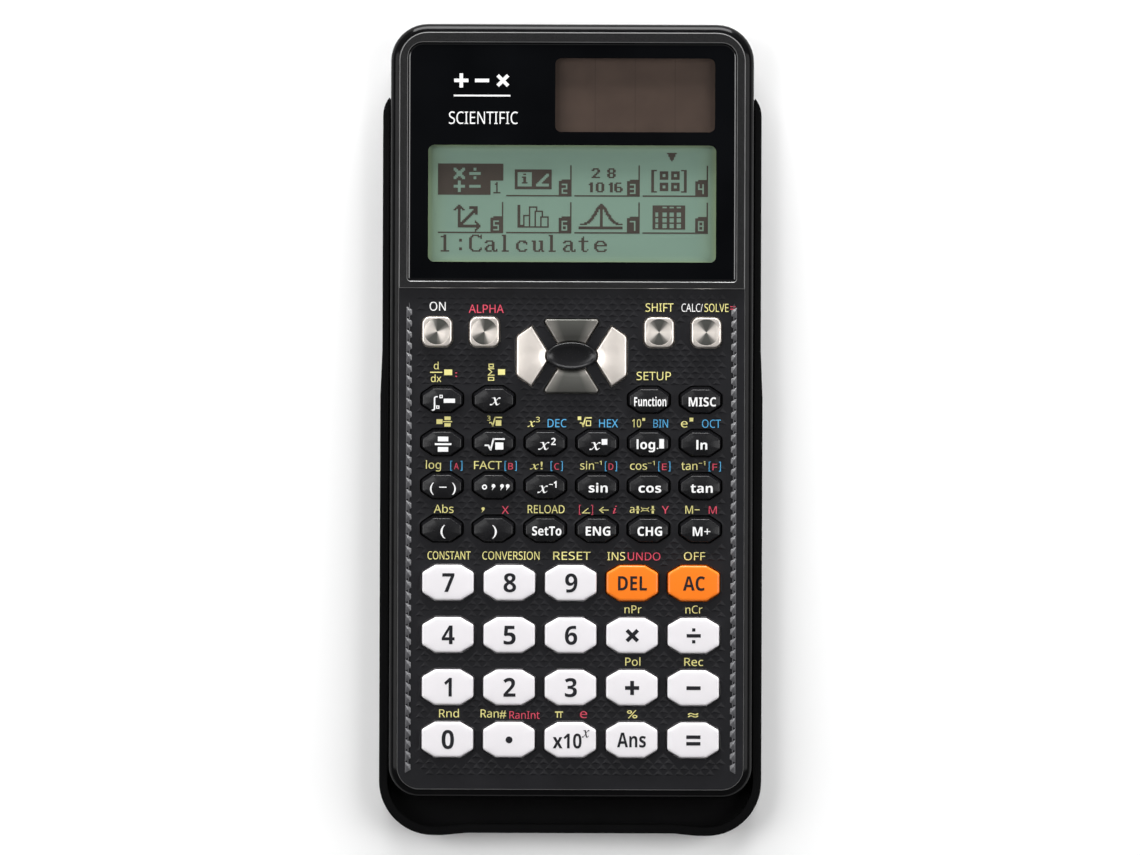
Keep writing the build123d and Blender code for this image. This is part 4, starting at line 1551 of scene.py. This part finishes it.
def dome_middle(name):
    """The point of a key that stands over its dome."""
    x, y = key_middle(name)
    if name not in PAD_KEYS:
        return x, y
    low, high = corners_mm(f"key_{name}")
    reach = setting("keys", "gap") + setting("keys", "flange")
    middle_x, middle_y = pad_middle()
    if name in ("left", "right"):
        side = math.copysign(1, x - middle_x)
        outer = (high.x - middle_x if side > 0 else middle_x - low.x) - reach
        return middle_x + side * (setting("keys", "boss_half_width") + outer) / 2, middle_y
    side = math.copysign(1, y - middle_y)
    outer = (high.y - middle_y if side > 0 else middle_y - low.y) - reach
    return middle_x, middle_y + side * (setting("keys", "boss_half_length") + outer) / 2


def circled(ring, x, y, radius, z):
    """A level circle about a point, with a corner towards each point of a ring."""
    found = []
    for px, py, _ in ring:
        away = Vector((px - x, py - y)).normalized() * radius
        found.append((x + away.x, y + away.y, z))
    return found


def rounding(radius, steps=6):
    """A quarter round from its foot up, as (inset, depth under the top) pairs."""
    turns = [math.pi / 2 * k / steps for k in range(steps + 1)]
    return [(radius * (1 - math.cos(t)), radius * (1 - math.sin(t))) for t in turns]


def hollowed(name, rings):
    """The rings of a cap, led by those of the hollow where its dome stands when it is down."""
    x, y = dome_middle(name)
    foot = rings[0][0][2]
    names = "hollow_top", "hollow_mouth", "hollow_depth"
    top, mouth, depth = (setting("keys", name) for name in names)
    hollow = [circled(rings[0], x, y, top, foot + depth), circled(rings[0], x, y, mouth, foot)]
    return hollow + rings


def cap(name, marks, body, print_of, glossy=False):
    """One key: flange, cap with a rounded rim, and its print."""
    plan = divided(cap_plan(name), 0.9)
    levels, top = key_foot(name)
    rim, crown, shift, inner, share_in = setting("keys", "rim"), 0.05, -0.03, 0, 0
    if glossy:  # a steep skirt, then a small rim that leans towards the foot
        rim, crown, shift, inner, share_in = 0.16, setting("keys", "crown"), -0.27, 0.36, 0.85
        levels += [(0.03, top - 1.5, 0), (inner, top - crown - rim - 0.04, share_in * shift)]
    sink = top - crown
    for k, (inset, depth) in enumerate(rounding(rim)):
        share = share_in + (1 - share_in) * k / 6
        levels.append((inner + inset, sink - depth, shift * share))
    skin = Skin()
    x, y = key_middle(name)
    rings = cap_rings(plan, levels)
    rim_ring = rings[-1]
    for share in (0.2, 0.4, 0.6, 0.8, 1.0):
        z = sink + crown * (1 - (1 - share) ** 2)
        scale = 1 - 0.92 * share
        rings.append(
            [(x + (p[0] - x) * scale, y + shift + (p[1] - y - shift) * scale, z) for p in rim_ring]
        )
    skin.loft(hollowed(name, rings))
    right, high = 0.25 if glossy else 0.05, top + setting("keys", "ink")
    for mark in marks:
        draw(skin, mark, x + right, y + 1.6 * shift, sink, high, 1, SANS_BOLD)
    mesh = skin.mesh(f"key_{name}_cap", [plastic(body), plastic(print_of)], 32)
    settle(mesh, f"cap_{name}", f"key_{name}", (f"key_{name}",))


class CALCULATOR_OT_black_keys(Operator):
    """Glossy black function keys with white legends"""

    bl_idname = "calculator.black_keys"
    bl_label = "Black Keys"

    def execute(self, context):
        for name, marks in BLACK_KEYS.items():
            cap(name, marks, "black key plastic", "white print", True)
        return {"FINISHED"}


class CALCULATOR_OT_white_keys(Operator):
    """White number keys with black legends"""

    bl_idname = "calculator.white_keys"
    bl_label = "White Keys"

    def execute(self, context):
        for name, marks in PALE_KEYS.items():
            cap(name, marks, "white key plastic", "black print")
        return {"FINISHED"}


class CALCULATOR_OT_orange_keys(Operator):
    """Orange clearing keys with black legends"""

    bl_idname = "calculator.orange_keys"
    bl_label = "Orange Keys"

    def execute(self, context):
        for name, marks in ORANGE_KEYS.items():
            cap(name, marks, "orange key plastic", "black print")
        return {"FINISHED"}


class CALCULATOR_OT_metal_keys(Operator):
    """Square metal keys, each with a turned disc let into its top that carries painted highlight
    and painted shade sectors
    """

    bl_idname = "calculator.metal_keys"
    bl_label = "Metal Keys"

    def execute(self, context):
        disc = setting("keys", "disc_radius")
        for name, turn in MODE_KEYS.items():
            plan = divided(cap_plan(name), 0.5)
            levels, top = key_foot(name)
            x, y = key_middle(name)
            levels += [(inset, top - depth, 0) for inset, depth in rounding(METAL_RIM)]
            rings = cap_rings(plan, levels)
            base = rings[-1]
            groove = (disc, 0.0), (disc - 0.05, 0.1), (disc - 0.12, 0.08)
            for radius, drop in (*groove, (1.6, 0.16), (0.7, 0.22), (0.1, 0.26)):
                rings.append(circled(base, x, y, radius, top - drop))
            skin = Skin()
            skin.loft(hollowed(name, rings))
            # The disc's faces take the turned metal, with its painted highlight and painted shade
            # sectors.
            lathed = (len(levels) + 3) * len(base)
            skin.finishes = [0 if k >= lathed else 1 for k in range(len(skin.faces))]
            skin.finishes[-2:] = [1, 0]
            mesh = skin.mesh(f"cap_{name}", [turned_metal(), plastic("bright metal")], 32)
            spin_map(mesh, x, y, turn)
            settle(mesh, f"cap_{name}", f"key_{name}", (f"key_{name}",))
        return {"FINISHED"}


class CALCULATOR_OT_direction_keys(Operator):
    """Four turned metal keys round the boss, dished towards it, with painted highlight and painted
    shade sectors about the pad's middle
    """

    bl_idname = "calculator.direction_keys"
    bl_label = "Direction Keys"

    def execute(self, context):
        x, y = pad_middle()
        rim, dish = METAL_RIM, setting("keys", "dish")
        for name in PAD_KEYS:
            levels, top = key_foot(name)
            plan = divided(cap_plan(name), 0.9)
            lines = [oval(w, h, x, y, 64) for w, h in (DISH, (6.6, 4.1), (6.0, 3.6))]
            rounds = [line + line[:1] for line in lines]
            points, _, found = field(moved(plan, -rim), (), rounds)
            kept = [triangle for triangle, _ in found]

            def height(px, py):
                away = math.hypot((px - x) / DISH[0], (py - y) / DISH[1])
                return top - dish * max(0.0, min(1.0, (1 - away) / 0.25))

            skin = Skin()
            skin.add([(px, py, height(px, py)) for px, py in points], kept)
            (loop,) = rims(kept)
            edge = [points[i] for i in loop]
            rings = [lifted(moved(edge, rim - inset), z) for inset, z, _ in levels]
            for inset, depth in rounding(rim, 4):
                spread = moved(edge, rim - inset)
                rings.append([(*p, height(*q) - depth) for p, q in zip(spread, edge)])
            skin.loft(hollowed(name, rings), high=False)
            # The painted sectors are turned about the pad's middle: painted highlight on the left
            # and right keys, painted shade on the up and down keys.
            mesh = skin.mesh(f"cap_{name}", [turned_metal()], 32)
            spin_map(mesh, x, y)
            settle(mesh, f"cap_{name}", f"key_{name}", (f"key_{name}",))
        return {"FINISHED"}


class CALCULATOR_OT_face_labels(Operator):
    """Second functions and letters printed on the face, one piece for each colour"""

    bl_idname = "calculator.face_labels"
    bl_label = "Face Labels"

    def execute(self, context):
        c = case_levels()
        low = c["face"] - setting("case", "weave_depth")
        high = c["face"] + setting("keys", "ink")
        for tone, labels in FACE_LABELS.items():
            skin = Skin()
            for name, *mark in labels:
                draw(skin, mark, *key_middle(name), low, high)
            mesh = skin.mesh(f"labels_{tone}", [plastic(f"{tone} print")], 20)
            settle(mesh, f"labels_{tone}", "housing")
        return {"FINISHED"}


class CALCULATOR_OT_shells(Operator):
    """Finishes of the back of the housing and of the slide-on cover"""

    bl_idname = "calculator.shells"
    bl_label = "Back and Cover"

    def execute(self, context):
        refinish("rear_case", plastic("case plastic"))
        refinish("slide_cover", plastic("cover plastic"))
        return {"FINISHED"}


class CALCULATOR_OT_inner_parts(Operator):
    """Finishes of the board, the key mat, the battery and the screws"""

    bl_idname = "calculator.inner_parts"
    bl_label = "Inner Parts"

    def execute(self, context):
        refinish("circuit_board", plastic("board varnish"))
        refinish("key_mat", plastic("key rubber"))
        refinish("battery", plastic("brushed steel"))
        refinish("case_screws", plastic("blackened steel"))
        return {"FINISHED"}


class CALCULATOR_OT_stage(Operator):
    """Pale floor, soft lights and the camera above the face"""

    bl_idname = "calculator.stage"
    bl_label = "Stage"

    def execute(self, context):
        scene = bpy.context.scene
        stage = scene.calculator_stage
        for stray in list(bpy.data.objects):
            if stray.type in {"LIGHT", "CAMERA"} or stray.name == "Cube":
                bpy.data.objects.remove(stray)
        half = stage.floor_size
        mesh = bpy.data.meshes.new("floor")
        square = [(-half, -half, 0), (half, -half, 0), (half, half, 0), (-half, half, 0)]
        mesh.from_pydata(square, [], [(0, 1, 2, 3)])
        mesh.materials.append(plastic("floor paper"))
        floor = bpy.data.objects.new("floor", mesh)
        scene.collection.objects.link(floor)
        camera = bpy.data.cameras.new("camera")
        camera.type = "PERSP"
        camera.lens, camera.sensor_width = stage.lens, stage.sensor
        camera.clip_start, camera.clip_end = 0.01, 20
        camera.dof.use_dof = False
        seat = bpy.data.objects.new("camera", camera)
        scene.collection.objects.link(seat)
        reach = stage.field_width * stage.lens / stage.sensor
        seat.location = Vector(stage.aim) + Vector((0, 0, reach))
        seat.rotation_euler = (0, 0, stage.roll)
        scene.camera = seat
        for name, side in (("left", -1), ("right", 1)):
            self.lamp(name, (side * 0.62, 0.05, 0.62), (0.5, 0.8), stage.side_light)
        self.lamp("back", (0.0, 0.95, 0.19), (0.9, 0.36), stage.back_light)
        self.lamp("high", (-0.3, 0.34, 0.8), (0.3, 0.3), stage.high_light)
        self.surroundings(scene, stage.dome)
        scene.view_settings.view_transform = "Standard"
        return {"FINISHED"}

    def lamp(self, name, place, size, power):
        light = bpy.data.lights.new(name, "AREA")
        light.shape = "RECTANGLE"
        light.size, light.size_y = size
        light.energy = power
        lamp = bpy.data.objects.new(name, light)
        bpy.context.scene.collection.objects.link(lamp)
        lamp.location = place
        lamp.rotation_euler = (-Vector(place)).to_track_quat("-Z", "Y").to_euler()

    def surroundings(self, scene, strength):
        """Pale all round, and dark straight above, as under the hood of a copy stand."""
        world = bpy.data.worlds.new("studio")
        world.use_nodes = True
        tree = world.node_tree
        sky = tree.nodes["Background"]
        coords = node(tree, "TexCoord")
        parts = node(tree, "SeparateXYZ")
        ramp = node(tree, "ValToRGB")
        stops = ramp.color_ramp.elements
        stops[0].position, stops[1].position = 0.55, 0.93
        stops[0].color, stops[1].color = (1, 1, 1, 1), (0.03, 0.03, 0.03, 1)
        tree.links.new(coords.outputs["Generated"], parts.inputs["Vector"])
        tree.links.new(parts.outputs["Z"], ramp.inputs["Fac"])
        tree.links.new(ramp.outputs["Color"], sky.inputs["Color"])
        sky.inputs["Strength"].default_value = strength
        scene.world = world


OPERATORS = (
    CALCULATOR_OT_border,
    CALCULATOR_OT_keypad_face,
    CALCULATOR_OT_grip_studs,
    CALCULATOR_OT_display_frame,
    CALCULATOR_OT_pad_boss,
    CALCULATOR_OT_display_window,
    CALCULATOR_OT_screen,
    CALCULATOR_OT_black_keys,
    CALCULATOR_OT_white_keys,
    CALCULATOR_OT_orange_keys,
    CALCULATOR_OT_metal_keys,
    CALCULATOR_OT_direction_keys,
    CALCULATOR_OT_face_labels,
    CALCULATOR_OT_shells,
    CALCULATOR_OT_inner_parts,
    CALCULATOR_OT_stage,
)


class CALCULATOR_PT_build(Panel):
    """The calculator's operators and settings"""

    bl_label = "Calculator"
    bl_idname = "CALCULATOR_PT_build"
    bl_space_type = "VIEW_3D"
    bl_region_type = "UI"
    bl_category = "Calculator"

    def draw(self, context):
        for operator in OPERATORS:
            self.layout.operator(operator.bl_idname)
        for label, group in SETTINGS.items():
            box = self.layout.box()
            box.label(text=group.__doc__)
            for name in group.__annotations__:
                box.prop(getattr(context.scene, label), name)


CLASSES = (*SETTINGS.values(), *OPERATORS, CALCULATOR_PT_build)


def register():
    for kind in CLASSES:
        bpy.utils.register_class(kind)
    for label, group in SETTINGS.items():
        setattr(bpy.types.Scene, label, PointerProperty(type=group))


def unregister():
    for label in SETTINGS:
        delattr(bpy.types.Scene, label)
    for kind in reversed(CLASSES):
        bpy.utils.unregister_class(kind)


def main():
    register()
    for operator in OPERATORS:
        getattr(bpy.ops.calculator, operator.bl_idname.split(".")[1])()


if __name__ == "__main__":
    main()
